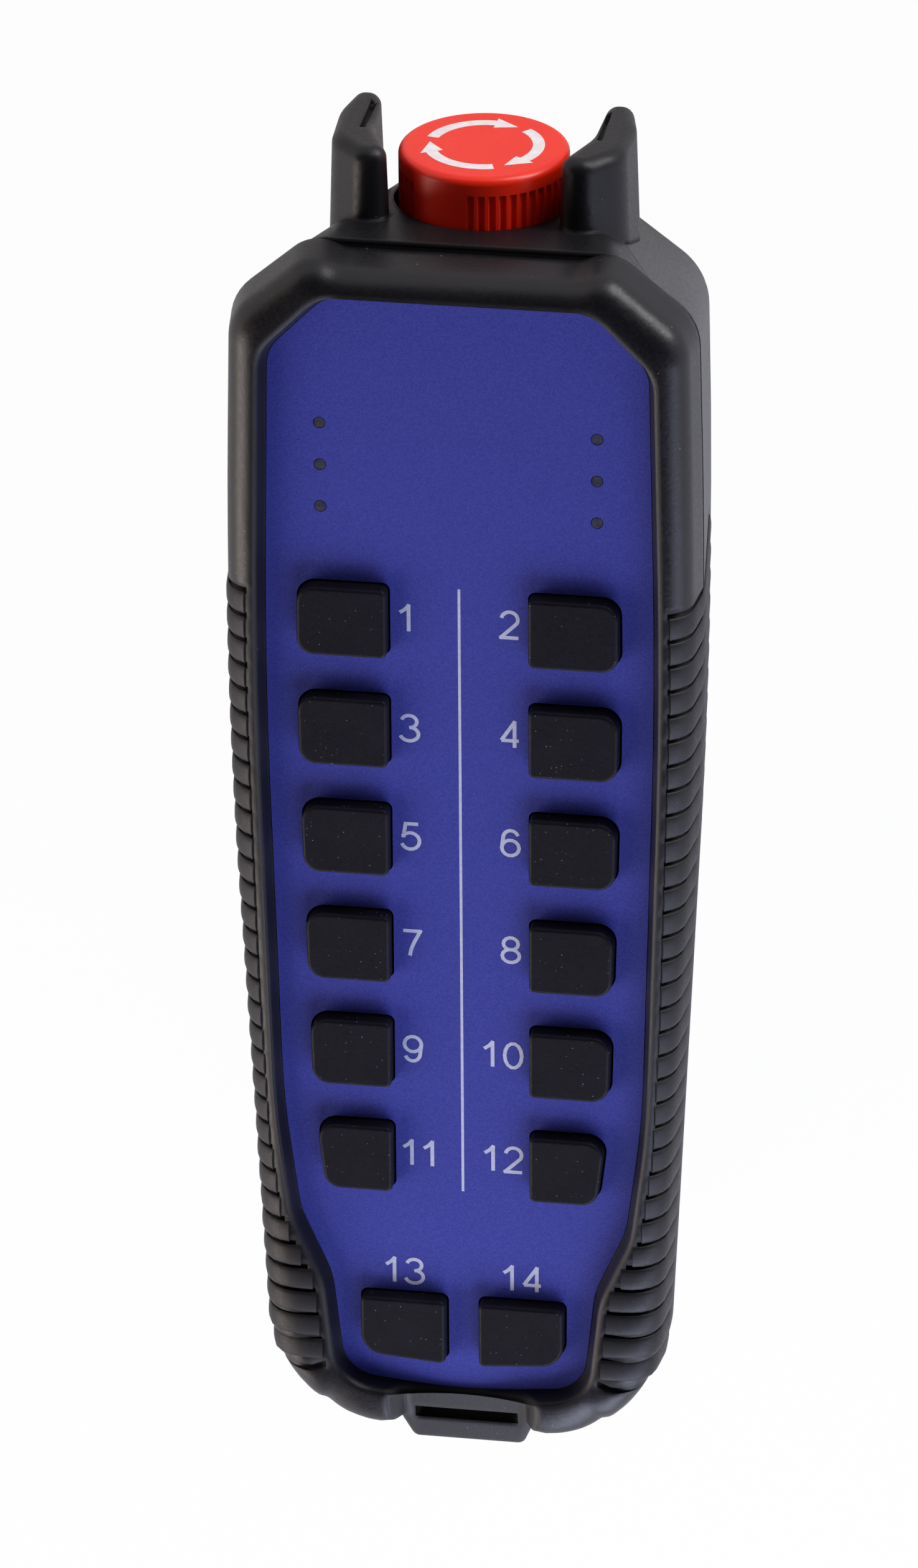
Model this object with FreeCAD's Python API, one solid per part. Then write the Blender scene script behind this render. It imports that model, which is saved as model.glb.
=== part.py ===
import FreeCAD, Part
import math
import os

# Handheld radio remote control, in millimetres.
# X runs across the housing, Y towards the stop button, Z out of the key panel.
# The back lies on Z = 0 and the origin is the middle of the overall length.

V = FreeCAD.Vector

# Housing
BODY_DEPTH = 56.0          # back to the rim round the key panel
FRONT_DEPTH = 10.5         # rim down to the joint between the two covers
WALL = 2.6                 # wall of the rear cover
FRONT_WALL = 3.6           # wall of the front cover, below its rounded rim
FLOOR = 3.0                # back wall
HALF_WIDTH = 36.75         # widest point of the plan, before it is rounded
WIDEST_Y = 29.5
SIDE_ROUND = 1100.0        # the long sides are one gentle bow
END_Y = 97.4               # stop button end of the housing
SHOULDER_HALF = 22.6       # half of the straight end, up to the corner cut
CORNER_IN = 1.55           # the corner cut meets the long side this far in from the widest point
CORNER_Y = 87.7
SHOULDER_ROUND = 6.0
CORNER_ROUND = 9.0
FOOT_HALF = 30.9           # narrow end
FOOT_Y = -102.5
FOOT_ROUND = 22.0
FOOT_CROWN = 3.0           # the narrow end bows out by this much
FOOT_CROWN_ROUND = 150.0
SCOOP_HALF = 17.6          # the front cover is scooped in front of the stop button
SCOOP_DEPTH = 1.0
SHOULDER_RISE = 1.1        # the cover's two raised shoulders beside the scoop
SCOOP_ROUND = 5.0
RIM_ROUND = 5.0            # rounding of the front cover's outer edge
RIM_DRAW = 1.2             # how far the front cover draws in from the parting to the rim
RIM_END_DRAW = 1.0         # the same at the stop button end
RIM_FOOT_DRAW = 3.6        # the same at the narrow end
JOINT_GAP = 0.5            # open groove along the joint between the covers

# How far the rear cover draws in from the parting to the back
SIDE_DRAW = 4.6
CORNER_TUCK = 19.67        # of the corner cuts, measured across the housing
END_DRAW = 1.0
FOOT_DRAW = 6.0
BACK_ROUND = 8.0           # rounding of the edge of the back
BACK_CORNER = 3.0          # the corners of the back are rounder than that by this much

# Key panel: a recess in the front cover with a printed film at its bottom
FILM_DROP = 3.0            # rim down to the face of the film
FILM_THICK = 0.5
PANEL_THICK = 2.5          # front cover under the film
RECESS_SLOPE = 1.15        # the recess is wider at the rim by this much
FILM_CLEAR = 0.1
PANEL_TOP_HALF = 19.9
PANEL_TOP_Y = 91.1
PANEL_CORNER_HALF = 28.6
PANEL_CORNER_Y = 82.2
PANEL_HALF = 29.75
PANEL_WIDEST_Y = 29.0
PANEL_WAIST_HALF = 28.0
PANEL_WAIST_Y = -46.0
PANEL_NECK_HALF = 25.6
PANEL_NECK_Y = -65.5
PANEL_TAIL_HALF = 20.7
PANEL_TAIL_Y = -77.0
PANEL_FOOT_HALF = 18.9
PANEL_FOOT_Y = -94.8
PANEL_FOOT_CROWN = 1.9
PANEL_TOP_ROUND = 5.0
PANEL_CORNER_ROUND = 6.0
PANEL_SIDE_ROUND = 900.0
PANEL_WAIST_ROUND = 150.0
PANEL_NECK_ROUND = 14.0
PANEL_FOOT_ROUND = 6.0
PANEL_FOOT_CROWN_ROUND = 90.0

# Keys
KEY_ROWS = 6
KEY_PITCH = 18.6
KEY_TOP_ROW_Y = 38.57      # middle of the first row
KEY_HOLE_HEIGHT = 12.0
KEY_INNER = 10.48          # centre line to the near side of a key hole
KEY_MARGIN = 4.7           # key hole to the edge of the film
KEY_INNER_ROUND = 1.2
KEY_OUTER_ROUND = 3.0
FOOT_KEY_Y = -85.2         # middle of the two keys at the narrow end
FOOT_KEY_INNER = 2.35
FOOT_KEY_OUTER = 16.3
FOOT_KEY_OUTER_ROUND = 4.0
FOOT_KEY_RISE = 1.2        # the outer end of these keys is shorter by this much
KEY_GAP = 0.3
KEY_PROUD = 2.5            # key top above the film
KEY_EDGE_ROUND = 0.6
KEY_LIP = 0.8              # flange that keeps the key behind the panel
KEY_LIP_THICK = 1.0
KEY_LIP_CLEAR = 0.25
KEY_TRAVEL = 1.2
KEY_STEM_RADIUS = 2.5
KEY_SEAL_THICK = 0.8
KEY_SEAL_CLEAR = 0.5

# Circuit board and what is on it
BOARD_DROP = 5.2           # underside of the panel to the board
BOARD_THICK = 1.6
BOARD_HALF = 24.0
BOARD_TOP_Y = 85.5
BOARD_FOOT_Y = -92.0
BOARD_FOOT_HALF = 17.0
BOARD_NECK_Y = -66.0
BOARD_ROUND = 3.0
DOME_RADIUS = 3.0
DOME_TOP_RADIUS = 1.6
DOME_THICK = 0.5
DOME_CLEAR = 0.4
LED_HALF_SPAN = 20.9
LED_TOP_Y = 70.6
LED_PITCH = 6.9
LED_COUNT = 3
LED_RADIUS = 0.85
LED_CHIP = 1.6
LED_CHIP_THICK = 0.8
LED_CLEAR = 0.3
BOARD_BOSS_RADIUS = 2.6
BOARD_SCREW_RADIUS = 1.2
BOARD_SCREW_HEAD_RADIUS = 2.2
BOARD_SCREW_HEAD = 1.5
BOARD_SCREW_BITE = 3.5
BOARD_SCREW_X = 0.0
BOARD_SCREW_YS = (60.0, -27.0, -69.0)
RADIO_WIDTH = 18.0
RADIO_LENGTH = 26.0
RADIO_THICK = 3.0
RADIO_Y = 38.0
AERIAL_RADIUS = 1.8
AERIAL_LENGTH = 38.0
AERIAL_X = 17.0
AERIAL_Y = -8.0
AERIAL_FOOT = 6.0

# Screws that hold the covers together, from the back
CASE_SCREW_PLACES = ((16.5, 79.0), (-16.5, 79.0), (0.0, 14.0), (17.5, -69.9), (-17.5, -69.9))
CASE_PILLAR_RADIUS = 3.7
CASE_SCREW_RADIUS = 1.5
CASE_SCREW_HEAD_RADIUS = 2.8
CASE_SCREW_HEAD = 2.2
CASE_SCREW_SEAT = 6.0      # pillar top down to the screw head's seat
CASE_SCREW_BITE = 3.4
SCREW_CLEAR = 0.1
HEAD_CLEAR = 0.3
GASKET_WIDTH = 1.0
GASKET_DEPTH = 1.0
GASKET_INSET = 0.8

# Battery bay in the back
CELL_RADIUS = 7.2
CELL_LENGTH = 50.0
CELL_COUNT = 2
CELL_SPACE = 0.6
CELL_LIFT = 0.4
BAY_Y = -30.0
BAY_WALL = 1.6
CONTACT_THICK = 0.6
CONTACT_SPACE = 0.4
LID_THICK = 2.4
LID_LEDGE = 2.2
LID_CLEAR = 0.25
LID_ROUND = 4.0
LID_SEAL_THICK = 0.6
LID_SEAL_WIDTH = 1.4
LID_EAR = 8.0              # room for the lid's screws beyond the bay
LID_SCREW_RADIUS = 1.5
LID_SCREW_HEAD_RADIUS = 2.7
LID_SCREW_HEAD = 1.4
LID_SCREW_BITE = 6.0
LID_BOSS_RADIUS = 3.6

# Grip ribs along both sides
GROOVE_COUNT = 33
GROOVE_PITCH = 4.205
GROOVE_TOP_Y = 43.2
GROOVE_WIDTH = 1.1
GROOVE_DEPTH = 0.8
GROOVE_START = 1.3         # rim to the inner end of the grooves
GROOVE_RUN = 27.0          # how far they run down the rear cover

# Strap bar at the narrow end
STRAP_SLOT_HALF = 8.2
STRAP_SLOT = 2.4
STRAP_SLOT_Y = -103.7      # outer side of the slot
STRAP_BAR = 4.8
STRAP_BAR_DEPTH = 10.5     # below the joint of the covers
STRAP_BAR_HALF = 11.2
STRAP_BAR_TAPER = 2.4      # each end of the bar draws in by this much
STRAP_BAR_ROUND = 1.4
STRAP_BAR_EDGE = 0.85
STRAP_POCKET = 11.0        # mouth under the bar
STRAP_CHANNEL_DROP = 4.0   # film down to the outer edge of the bar
STRAP_CHANNEL_FLARE = 2.5
STRAP_WALL = 2.4

# Stop button and its guard
STOP_DROP = 19.5           # joint between the covers down to the stop button's axis
STOP_TRAVEL = 4.0
HEAD_RADIUS = 12.85
HEAD_TOP_Y = 105.2
HEAD_HEIGHT = 9.7
HEAD_CROWN = 5.0           # solid top of the head
HEAD_WALL = 2.1
HEAD_EDGE_ROUND = 1.2
FLUTE_GROUPS = 3
FLUTES_IN_GROUP = 11
FLUTE_STEP = 7.2           # degrees
FLUTE_RADIUS = 0.55
FLUTE_DROP = 2.8           # smooth band under the top edge
FLUTE_FIRST = -0.5         # degrees from the front of the head to the first flute
SEAM_Y = 93.5              # joint between rear cover and guard
WELL_CLEAR = 0.75
WELL_FLOOR_Y = 90.4
WELL_WALL = 0.8            # collar round the well, inside the rear cover
SPIGOT_END_Y = 87.0
SPIGOT_CLEAR = 0.3
BUSH_RADIUS = 8.0
BUSH_FLANGE_RADIUS = 10.0
BUSH_FLANGE = 1.5
BUSH_GUIDE_RADIUS = 6.0
BUSH_LENGTH = 10.0         # below the well floor
BUSH_CLEAR = 0.1
STOP_GASKET_THICK = 0.8
SHAFT_RADIUS = 4.0
SHAFT_NECK_RADIUS = 3.0
SHAFT_NECK = 3.0
SHAFT_CLEAR = 0.05
SHAFT_LENGTH = 24.0        # below the head's underside
NUT_FLATS = 20.0
NUT_THICK = 4.0
BLOCK_HALF = 12.0
BLOCK_LENGTH = 24.0
BLOCK_SOCKET = 2.5
BLOCK_ROUND = 2.0
SPRING_RADIUS = 8.0
SPRING_WIRE = 0.5
SPRING_TURNS = 3.5
SPRING_STEPS = 18          # sections in a turn of the spring
SPRING_CLEAR = 0.15
HORN_TIP_Y = 108.5
HORN_ROUND = 2.0
HORN_DRAW = 0.8            # the wings are thicker at the foot by this much
HORN_CORNERS = (           # right wing: across and up from the stop axis, and the corner radius
    (12.8, 10.6, 2.0), (16.4, 13.0, 3.0), (22.1, 7.0, 7.0), (22.5, -4.0, 12.0),
    (21.0, -11.0, 1.9), (17.2, -11.0, 1.9), (16.6, 1.0, 16.0))
HORN_SEAT = 9.0            # the wings reach down beside the corner cuts by up to this much
HORN_SLIT = 0.9            # slit in the top of each wing, near its inner side
HORN_SLIT_DEPTH = 1.4
HORN_SLIT_IN = 17.4        # stop axis to the slit
HORN_SLIT_LOW = -7.5       # ends of the slit, up from the stop axis
HORN_SLIT_HIGH = 3.5

# Heights that follow from the sizes above
PARTING = BODY_DEPTH - FRONT_DEPTH
STOP_HEIGHT = PARTING - STOP_DROP
CORNER_HALF = HALF_WIDTH - CORNER_IN
CORNER_SLOPE = math.atan2(END_Y - CORNER_Y, CORNER_HALF - SHOULDER_HALF)
CORNER_DRAW = CORNER_TUCK * math.sin(CORNER_SLOPE)
FILM_FACE = BODY_DEPTH - FILM_DROP
PANEL_FACE = FILM_FACE - FILM_THICK
PANEL_UNDER = PANEL_FACE - PANEL_THICK
KEY_TOP = FILM_FACE + KEY_PROUD
KEY_LIP_TOP = PANEL_UNDER - KEY_LIP_CLEAR
KEY_LIP_UNDER = KEY_LIP_TOP - KEY_LIP_THICK
BOARD_TOP = PANEL_UNDER - BOARD_DROP
BOARD_UNDER = BOARD_TOP - BOARD_THICK
KEY_STEM_FOOT = BOARD_TOP + DOME_THICK + DOME_CLEAR + KEY_TRAVEL
HEAD_UNDER_Y = HEAD_TOP_Y - HEAD_HEIGHT
HEAD_CEILING_Y = HEAD_TOP_Y - HEAD_CROWN
WELL_RADIUS = HEAD_RADIUS + WELL_CLEAR
COLLAR_RADIUS = WELL_RADIUS + WELL_WALL
BAR_OUTER_Y = STRAP_SLOT_Y - STRAP_BAR
SLOT_INNER_Y = STRAP_SLOT_Y + STRAP_SLOT
CHANNEL_START_Y = PANEL_FOOT_Y - PANEL_FOOT_CROWN - FILM_CLEAR
FOOT_WALL = SLOT_INNER_Y + STRAP_WALL - FOOT_Y + FOOT_CROWN
CELL_SPAN = CELL_RADIUS + CELL_SPACE / 2
BAY_HALF = CELL_SPAN * CELL_COUNT + CELL_SPACE
BAY_HALF_LENGTH = CELL_LENGTH / 2 + CONTACT_SPACE + CONTACT_THICK
LID_SEAT = LID_THICK + LID_SEAL_THICK
CELL_HEIGHT = LID_SEAT + CELL_LIFT + CELL_RADIUS
BAY_TOP = CELL_HEIGHT + CELL_RADIUS + CELL_LIFT
LID_SCREW_REACH = BAY_HALF_LENGTH + LID_LEDGE + LID_EAR / 2
FAR = 200.0                # reach of cutting solids
SMALLEST_ROUND = 0.4       # corners of an inset outline keep at least this
ARC_SHARE = 0.98           # arcs may take up this much of a straight run


# Plan outlines: corners with a radius each, joined by straight runs

def mirrored(half):
    """Closed list of corners from its right half, listed from the top down."""
    left = [(-x, y, r) for x, y, r in reversed(half) if x > 0]
    return half + left


def turned(a, b, c):
    """Unit directions into and out of corner b, and the signed turn there."""
    into = (b[0] - a[0], b[1] - a[1])
    out = (c[0] - b[0], c[1] - b[1])
    turn = math.atan2(into[0] * out[1] - into[1] * out[0], into[0] * out[0] + into[1] * out[1])
    return into, out, turn


def inset(corners, amounts):
    """Moves each straight run inwards by its own amount, with the radii to suit."""
    count = len(corners)
    if not isinstance(amounts, (list, tuple)):
        amounts = [amounts] * count
    runs = []
    for i in range(count):
        x0, y0, _ = corners[i]
        x1, y1, _ = corners[(i + 1) % count]
        length = math.hypot(x1 - x0, y1 - y0)
        ux, uy = (x1 - x0) / length, (y1 - y0) / length
        runs.append((x0 + uy * amounts[i], y0 - ux * amounts[i], ux, uy))
    moved = []
    for i in range(count):
        px, py, ux, uy = runs[i - 1]
        qx, qy, vx, vy = runs[i]
        cross = ux * vy - uy * vx
        reach = ((qx - px) * vy - (qy - py) * vx) / cross
        change = (amounts[i - 1] + amounts[i]) / 2
        if cross > 0:
            change = -change
        moved.append((px + ux * reach, py + uy * reach, max(corners[i][2] - change, SMALLEST_ROUND)))
    return moved


def outline(corners, height):
    """Wire of straight runs and tangent arcs, each arc no larger than its runs allow."""
    count = len(corners)
    ways = [turned(corners[i - 1], corners[i], corners[(i + 1) % count]) for i in range(count)]
    lengths = [math.hypot(*way[1]) for way in ways]
    tangents = [corners[i][2] * math.tan(abs(ways[i][2]) / 2) for i in range(count)]
    room = [1.0] * count
    for i in range(count):
        j = (i + 1) % count
        share = ARC_SHARE * lengths[i] / (tangents[i] + tangents[j])
        room[i] = min(room[i], share)
        room[j] = min(room[j], share)
    edges = []
    last = None
    first = None
    for i in range(count):
        into, out, turn = ways[i]
        x, y, _ = corners[i]
        reach = tangents[i] * room[i]
        in_length = math.hypot(*into)
        start = V(x - into[0] / in_length * reach, y - into[1] / in_length * reach, height)
        end = V(x + out[0] / lengths[i] * reach, y + out[1] / lengths[i] * reach, height)
        radius = reach / math.tan(abs(turn) / 2)
        towards = (start + end) * 0.5 - V(x, y, height)
        sagitta = radius * (1 / math.cos(abs(turn) / 2) - 1)
        middle = V(x, y, height) + towards.normalize() * sagitta
        if last is not None:
            edges.append(Part.LineSegment(last, start).toShape())
        edges.append(Part.Arc(start, middle, end).toShape())
        first = first or start
        last = end
    edges.append(Part.LineSegment(last, first).toShape())
    return Part.Wire(edges)


def plate(corners, low, high):
    """Straight prism on an outline."""
    return Part.Face(outline(corners, low)).extrude(V(0, 0, high - low))


def half_width(corners, y):
    """Half of an outline's width across the line at y."""
    line = Part.LineSegment(V(-FAR, y, 0), V(FAR, y, 0)).toShape()
    return Part.Face(outline(corners, 0)).common(line).BoundBox.XMax


def block(x0, x1, y0, y1, z0, z1):
    return Part.makeBox(x1 - x0, y1 - y0, z1 - z0, V(x0, y0, z0))


def post(x, y, low, high, radius):
    return Part.makeCylinder(radius, high - low, V(x, y, low))


def along_stop(radius, y0, y1):
    """Cylinder on the stop button's axis."""
    return Part.makeCylinder(radius, y1 - y0, V(0, y0, STOP_HEIGHT), V(0, 1, 0))


def joined(solids):
    first, *rest = solids
    return first.multiFuse(rest).removeSplitter() if rest else first


def save(name, shape):
    shape.exportStep("parts/" + name + ".step")


# Outlines of the product

def rear_plan():
    return mirrored([
        (SHOULDER_HALF, END_Y, SHOULDER_ROUND),
        (CORNER_HALF, CORNER_Y, CORNER_ROUND),
        (HALF_WIDTH, WIDEST_Y, SIDE_ROUND),
        (FOOT_HALF, FOOT_Y, FOOT_ROUND),
        (0, FOOT_Y - FOOT_CROWN, FOOT_CROWN_ROUND)])


def front_plan():
    return mirrored([
        (SCOOP_HALF, END_Y - SCOOP_DEPTH, SCOOP_ROUND),
        (SHOULDER_HALF, END_Y + SHOULDER_RISE, SHOULDER_ROUND),
        (CORNER_HALF, CORNER_Y, CORNER_ROUND),
        (HALF_WIDTH, WIDEST_Y, SIDE_ROUND),
        (FOOT_HALF, FOOT_Y, FOOT_ROUND),
        (0, FOOT_Y - FOOT_CROWN, FOOT_CROWN_ROUND)])


def panel_plan():
    return mirrored([
        (PANEL_TOP_HALF, PANEL_TOP_Y, PANEL_TOP_ROUND),
        (PANEL_CORNER_HALF, PANEL_CORNER_Y, PANEL_CORNER_ROUND),
        (PANEL_HALF, PANEL_WIDEST_Y, PANEL_SIDE_ROUND),
        (PANEL_WAIST_HALF, PANEL_WAIST_Y, PANEL_WAIST_ROUND),
        (PANEL_NECK_HALF, PANEL_NECK_Y, PANEL_NECK_ROUND),
        (PANEL_TAIL_HALF, PANEL_TAIL_Y, PANEL_NECK_ROUND),
        (PANEL_FOOT_HALF, PANEL_FOOT_Y, PANEL_FOOT_ROUND),
        (0, PANEL_FOOT_Y - PANEL_FOOT_CROWN, PANEL_FOOT_CROWN_ROUND)])


def rear_amounts(side, corner, end, foot):
    """One amount for each run of the rear plan, in its order."""
    return [corner, side, side, foot, foot, side, side, corner, end]


def rear_form(wall, floor, foot_wall, edge_round):
    """The rear cover's outer form, or its hollow when walls and a floor are given."""
    whole = (SIDE_DRAW, CORNER_DRAW, END_DRAW, FOOT_DRAW)
    walls = (wall, wall, wall, foot_wall)
    sections = []
    for height in (PARTING, floor):
        share = (PARTING - height) / PARTING
        amounts = rear_amounts(*[draw * share + thick for draw, thick in zip(whole, walls)])
        corners = inset(rear_plan(), amounts)
        softest = (edge_round + BACK_CORNER) * share
        corners = [(x, y, max(r, softest)) for x, y, r in corners]
        sections.append(outline(corners, height))
    form = Part.makeLoft(sections, True, True)
    edge = [e for e in form.Edges if all(abs(v.Z - floor) < 1e-6 for v in e.Vertexes)]
    return form.makeFillet(edge_round, edge)


def rear_outside():
    return rear_form(0.0, 0.0, 0.0, BACK_ROUND)


def rear_hollow(clear):
    return rear_form(WALL + clear, FLOOR + clear, FOOT_WALL, BACK_ROUND - WALL)


def beyond_seam():
    return block(-FAR, FAR, SEAM_Y, FAR, -FAR, FAR)


# Keys

def key_hole(number):
    """Corners of a key's hole. Odd keys are on the left, even keys on the right."""
    row = (number - 1) // 2
    if row < KEY_ROWS:
        middle = KEY_TOP_ROW_Y - row * KEY_PITCH
        top = middle + KEY_HOLE_HEIGHT / 2
        foot = middle - KEY_HOLE_HEIGHT / 2
        corners = [
            (KEY_INNER, top, KEY_INNER_ROUND),
            (half_width(panel_plan(), top) - KEY_MARGIN, top, KEY_OUTER_ROUND),
            (half_width(panel_plan(), foot) - KEY_MARGIN, foot, KEY_OUTER_ROUND),
            (KEY_INNER, foot, KEY_INNER_ROUND)]
    else:
        top = FOOT_KEY_Y + KEY_HOLE_HEIGHT / 2
        foot = FOOT_KEY_Y - KEY_HOLE_HEIGHT / 2
        corners = [
            (FOOT_KEY_INNER, top, KEY_INNER_ROUND),
            (FOOT_KEY_OUTER, top, KEY_INNER_ROUND),
            (FOOT_KEY_OUTER, foot + FOOT_KEY_RISE, FOOT_KEY_OUTER_ROUND),
            (FOOT_KEY_INNER, foot, KEY_INNER_ROUND)]
    if number % 2:
        corners = [(-x, y, r) for x, y, r in reversed(corners)]
    return corners


def key_middle(number):
    corners = key_hole(number)
    return (sum(c[0] for c in corners) / len(corners), sum(c[1] for c in corners) / len(corners))


KEY_NUMBERS = range(1, 2 * KEY_ROWS + 3)


def button(number):
    hole = key_hole(number)
    cap = plate(inset(hole, KEY_GAP), KEY_LIP_UNDER, KEY_TOP)
    top_edges = [e for e in cap.Edges if all(abs(v.Z - KEY_TOP) < 1e-6 for v in e.Vertexes)]
    cap = cap.makeFillet(KEY_EDGE_ROUND, top_edges)
    lip = plate(inset(hole, -KEY_LIP), KEY_LIP_UNDER, KEY_LIP_TOP)
    x, y = key_middle(number)
    stem = post(x, y, KEY_STEM_FOOT, KEY_LIP_UNDER, KEY_STEM_RADIUS)
    return joined([cap, lip, stem])


def key_seal():
    """Silicone sheet under the panel, open round each key, boss and light guide."""
    low = PANEL_UNDER - KEY_SEAL_THICK
    sheet = plate(inset(panel_plan(), KEY_SEAL_CLEAR), low, PANEL_UNDER)
    room = KEY_LIP + KEY_SEAL_CLEAR
    holes = [plate(inset(key_hole(n), -room), low, PANEL_UNDER) for n in KEY_NUMBERS]
    for x, y in CASE_SCREW_PLACES:
        holes.append(post(x, y, low, PANEL_UNDER, CASE_PILLAR_RADIUS + KEY_SEAL_CLEAR))
    for y in BOARD_SCREW_YS:
        holes.append(post(BOARD_SCREW_X, y, low, PANEL_UNDER, BOARD_BOSS_RADIUS + KEY_SEAL_CLEAR))
    holes += [post(x, y, low, PANEL_UNDER, LED_RADIUS + LED_CLEAR) for x, y in led_places()]
    return sheet.cut(Part.makeCompound(holes))


def key_domes():
    domes = []
    for number in KEY_NUMBERS:
        x, y = key_middle(number)
        domes.append(Part.makeCone(DOME_RADIUS, DOME_TOP_RADIUS, DOME_THICK, V(x, y, BOARD_TOP)))
    return Part.makeCompound(domes)


# Panel, board and lights

def led_places():
    rows = [LED_TOP_Y - i * LED_PITCH for i in range(LED_COUNT)]
    return [(side * LED_HALF_SPAN, y) for side in (-1, 1) for y in rows]


def panel_film():
    film = plate(panel_plan(), PANEL_FACE, FILM_FACE)
    holes = [plate(key_hole(n), PANEL_FACE, FILM_FACE) for n in KEY_NUMBERS]
    holes += [post(x, y, PANEL_FACE, FILM_FACE, LED_RADIUS + SCREW_CLEAR) for x, y in led_places()]
    return film.cut(Part.makeCompound(holes))


def light_guides():
    low = BOARD_TOP + LED_CHIP_THICK + LED_CLEAR
    return Part.makeCompound([post(x, y, low, FILM_FACE, LED_RADIUS) for x, y in led_places()])


def status_leds():
    half = LED_CHIP / 2
    chips = []
    for x, y in led_places():
        top = BOARD_TOP + LED_CHIP_THICK
        chips.append(block(x - half, x + half, y - half, y + half, BOARD_TOP, top))
    return Part.makeCompound(chips)


def circuit_board():
    board = plate(mirrored([
        (BOARD_HALF, BOARD_TOP_Y, BOARD_ROUND),
        (BOARD_HALF, BOARD_NECK_Y, BOARD_ROUND),
        (BOARD_FOOT_HALF, BOARD_NECK_Y - (BOARD_HALF - BOARD_FOOT_HALF), BOARD_ROUND),
        (BOARD_FOOT_HALF, BOARD_FOOT_Y, BOARD_ROUND)]), BOARD_UNDER, BOARD_TOP)
    round_pillar = CASE_PILLAR_RADIUS + HEAD_CLEAR
    holes = [post(x, y, BOARD_UNDER, BOARD_TOP, round_pillar) for x, y in CASE_SCREW_PLACES]
    round_screw = BOARD_SCREW_RADIUS + SCREW_CLEAR
    holes += [post(BOARD_SCREW_X, y, BOARD_UNDER, BOARD_TOP, round_screw) for y in BOARD_SCREW_YS]
    return board.cut(Part.makeCompound(holes))


def board_screws():
    screws = []
    for y in BOARD_SCREW_YS:
        low = BOARD_UNDER - BOARD_SCREW_HEAD
        head = post(BOARD_SCREW_X, y, low, BOARD_UNDER, BOARD_SCREW_HEAD_RADIUS)
        tip = BOARD_TOP + BOARD_SCREW_BITE
        shank = post(BOARD_SCREW_X, y, BOARD_UNDER, tip, BOARD_SCREW_RADIUS)
        screws.append(joined([head, shank]))
    return Part.makeCompound(screws)


def radio_module():
    across = RADIO_WIDTH / 2
    along = RADIO_LENGTH / 2
    low = BOARD_UNDER - RADIO_THICK
    return block(-across, across, RADIO_Y - along, RADIO_Y + along, low, BOARD_UNDER)


def aerial():
    """Rod aerial on a foot under the board."""
    low = BOARD_UNDER - 2 * AERIAL_RADIUS
    start = V(AERIAL_X, AERIAL_Y, low + AERIAL_RADIUS)
    rod = Part.makeCylinder(AERIAL_RADIUS, AERIAL_LENGTH, start, V(0, 1, 0))
    half = AERIAL_FOOT / 2
    foot = block(AERIAL_X - half, AERIAL_X + half, AERIAL_Y - AERIAL_FOOT, AERIAL_Y, low, BOARD_UNDER)
    return joined([rod, foot])


# Covers

def groove_cutter(y):
    """Both sides of one grip groove: a thin slice outside the sunk profile of the covers."""
    side = half_width(rear_plan(), y) - GROOVE_DEPTH
    start = half_width(panel_plan(), y) + RECESS_SLOPE + GROOVE_START
    sunk = RIM_ROUND - GROOVE_DEPTH
    bend_z = BODY_DEPTH - RIM_ROUND
    wall_x = side - RIM_DRAW * (bend_z - PARTING) / FRONT_DEPTH
    bend_x = wall_x - sunk
    begin_x = max(bend_x, start + GROOVE_DEPTH)
    steep = math.acos((begin_x - bend_x) / sunk)
    low = PARTING - GROOVE_RUN
    low_x = side - SIDE_DRAW * GROOVE_RUN / PARTING
    out = side + RIM_ROUND
    high = BODY_DEPTH + RIM_ROUND
    begin, middle, end = [
        V(bend_x + sunk * math.cos(a), y - GROOVE_WIDTH / 2, bend_z + sunk * math.sin(a))
        for a in (steep, steep / 2, 0)]
    corners = ((side, PARTING), (low_x, low), (out, low), (out, high), (start, high), (start, begin.z))
    runs = [end] + [V(x, y - GROOVE_WIDTH / 2, z) for x, z in corners] + [begin]
    edges = [Part.Arc(begin, middle, end).toShape()] + Part.makePolygon(runs).Edges
    right = Part.Face(Part.Wire(edges)).extrude(V(0, GROOVE_WIDTH, 0))
    return [right, right.mirror(V(0, 0, 0), V(1, 0, 0))]


def grip_grooves():
    slices = []
    for i in range(GROOVE_COUNT):
        slices += groove_cutter(GROOVE_TOP_Y - i * GROOVE_PITCH)
    return Part.makeCompound(slices)


def strap_slot():
    """Space for a wrist strap: down behind the bar and out under it."""
    half = STRAP_SLOT_HALF
    low = PARTING - STRAP_BAR_DEPTH - STRAP_POCKET
    slot = block(-half, half, STRAP_SLOT_Y, SLOT_INNER_Y, low, BODY_DEPTH + RIM_ROUND)
    mouth = block(-half, half, -FAR, SLOT_INNER_Y, low, PARTING - STRAP_BAR_DEPTH)
    return joined([slot, mouth])


def channel_floor(y):
    """Height of the sloping floor that leads from the film out over the strap bar."""
    return FILM_FACE - STRAP_CHANNEL_DROP * (CHANNEL_START_Y - y) / (CHANNEL_START_Y - BAR_OUTER_Y)


def strap_channel(half):
    """Space above that floor, with flared sides."""
    sections = []
    for y in (CHANNEL_START_Y, BAR_OUTER_Y - STRAP_BAR):
        high = BODY_DEPTH + RIM_ROUND
        floor = channel_floor(y)
        wide = half + STRAP_CHANNEL_FLARE * (high - floor) / (BODY_DEPTH - floor)
        points = [V(-wide, y, high), V(wide, y, high), V(half, y, floor), V(-half, y, floor)]
        sections.append(Part.makePolygon(points + points[:1]))
    return Part.makeLoft(sections, True, True)


def bar_plan():
    return mirrored([
        (STRAP_BAR_HALF, SLOT_INNER_Y, STRAP_BAR_ROUND),
        (STRAP_BAR_HALF - STRAP_BAR_TAPER, BAR_OUTER_Y, STRAP_BAR_ROUND)])


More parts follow.
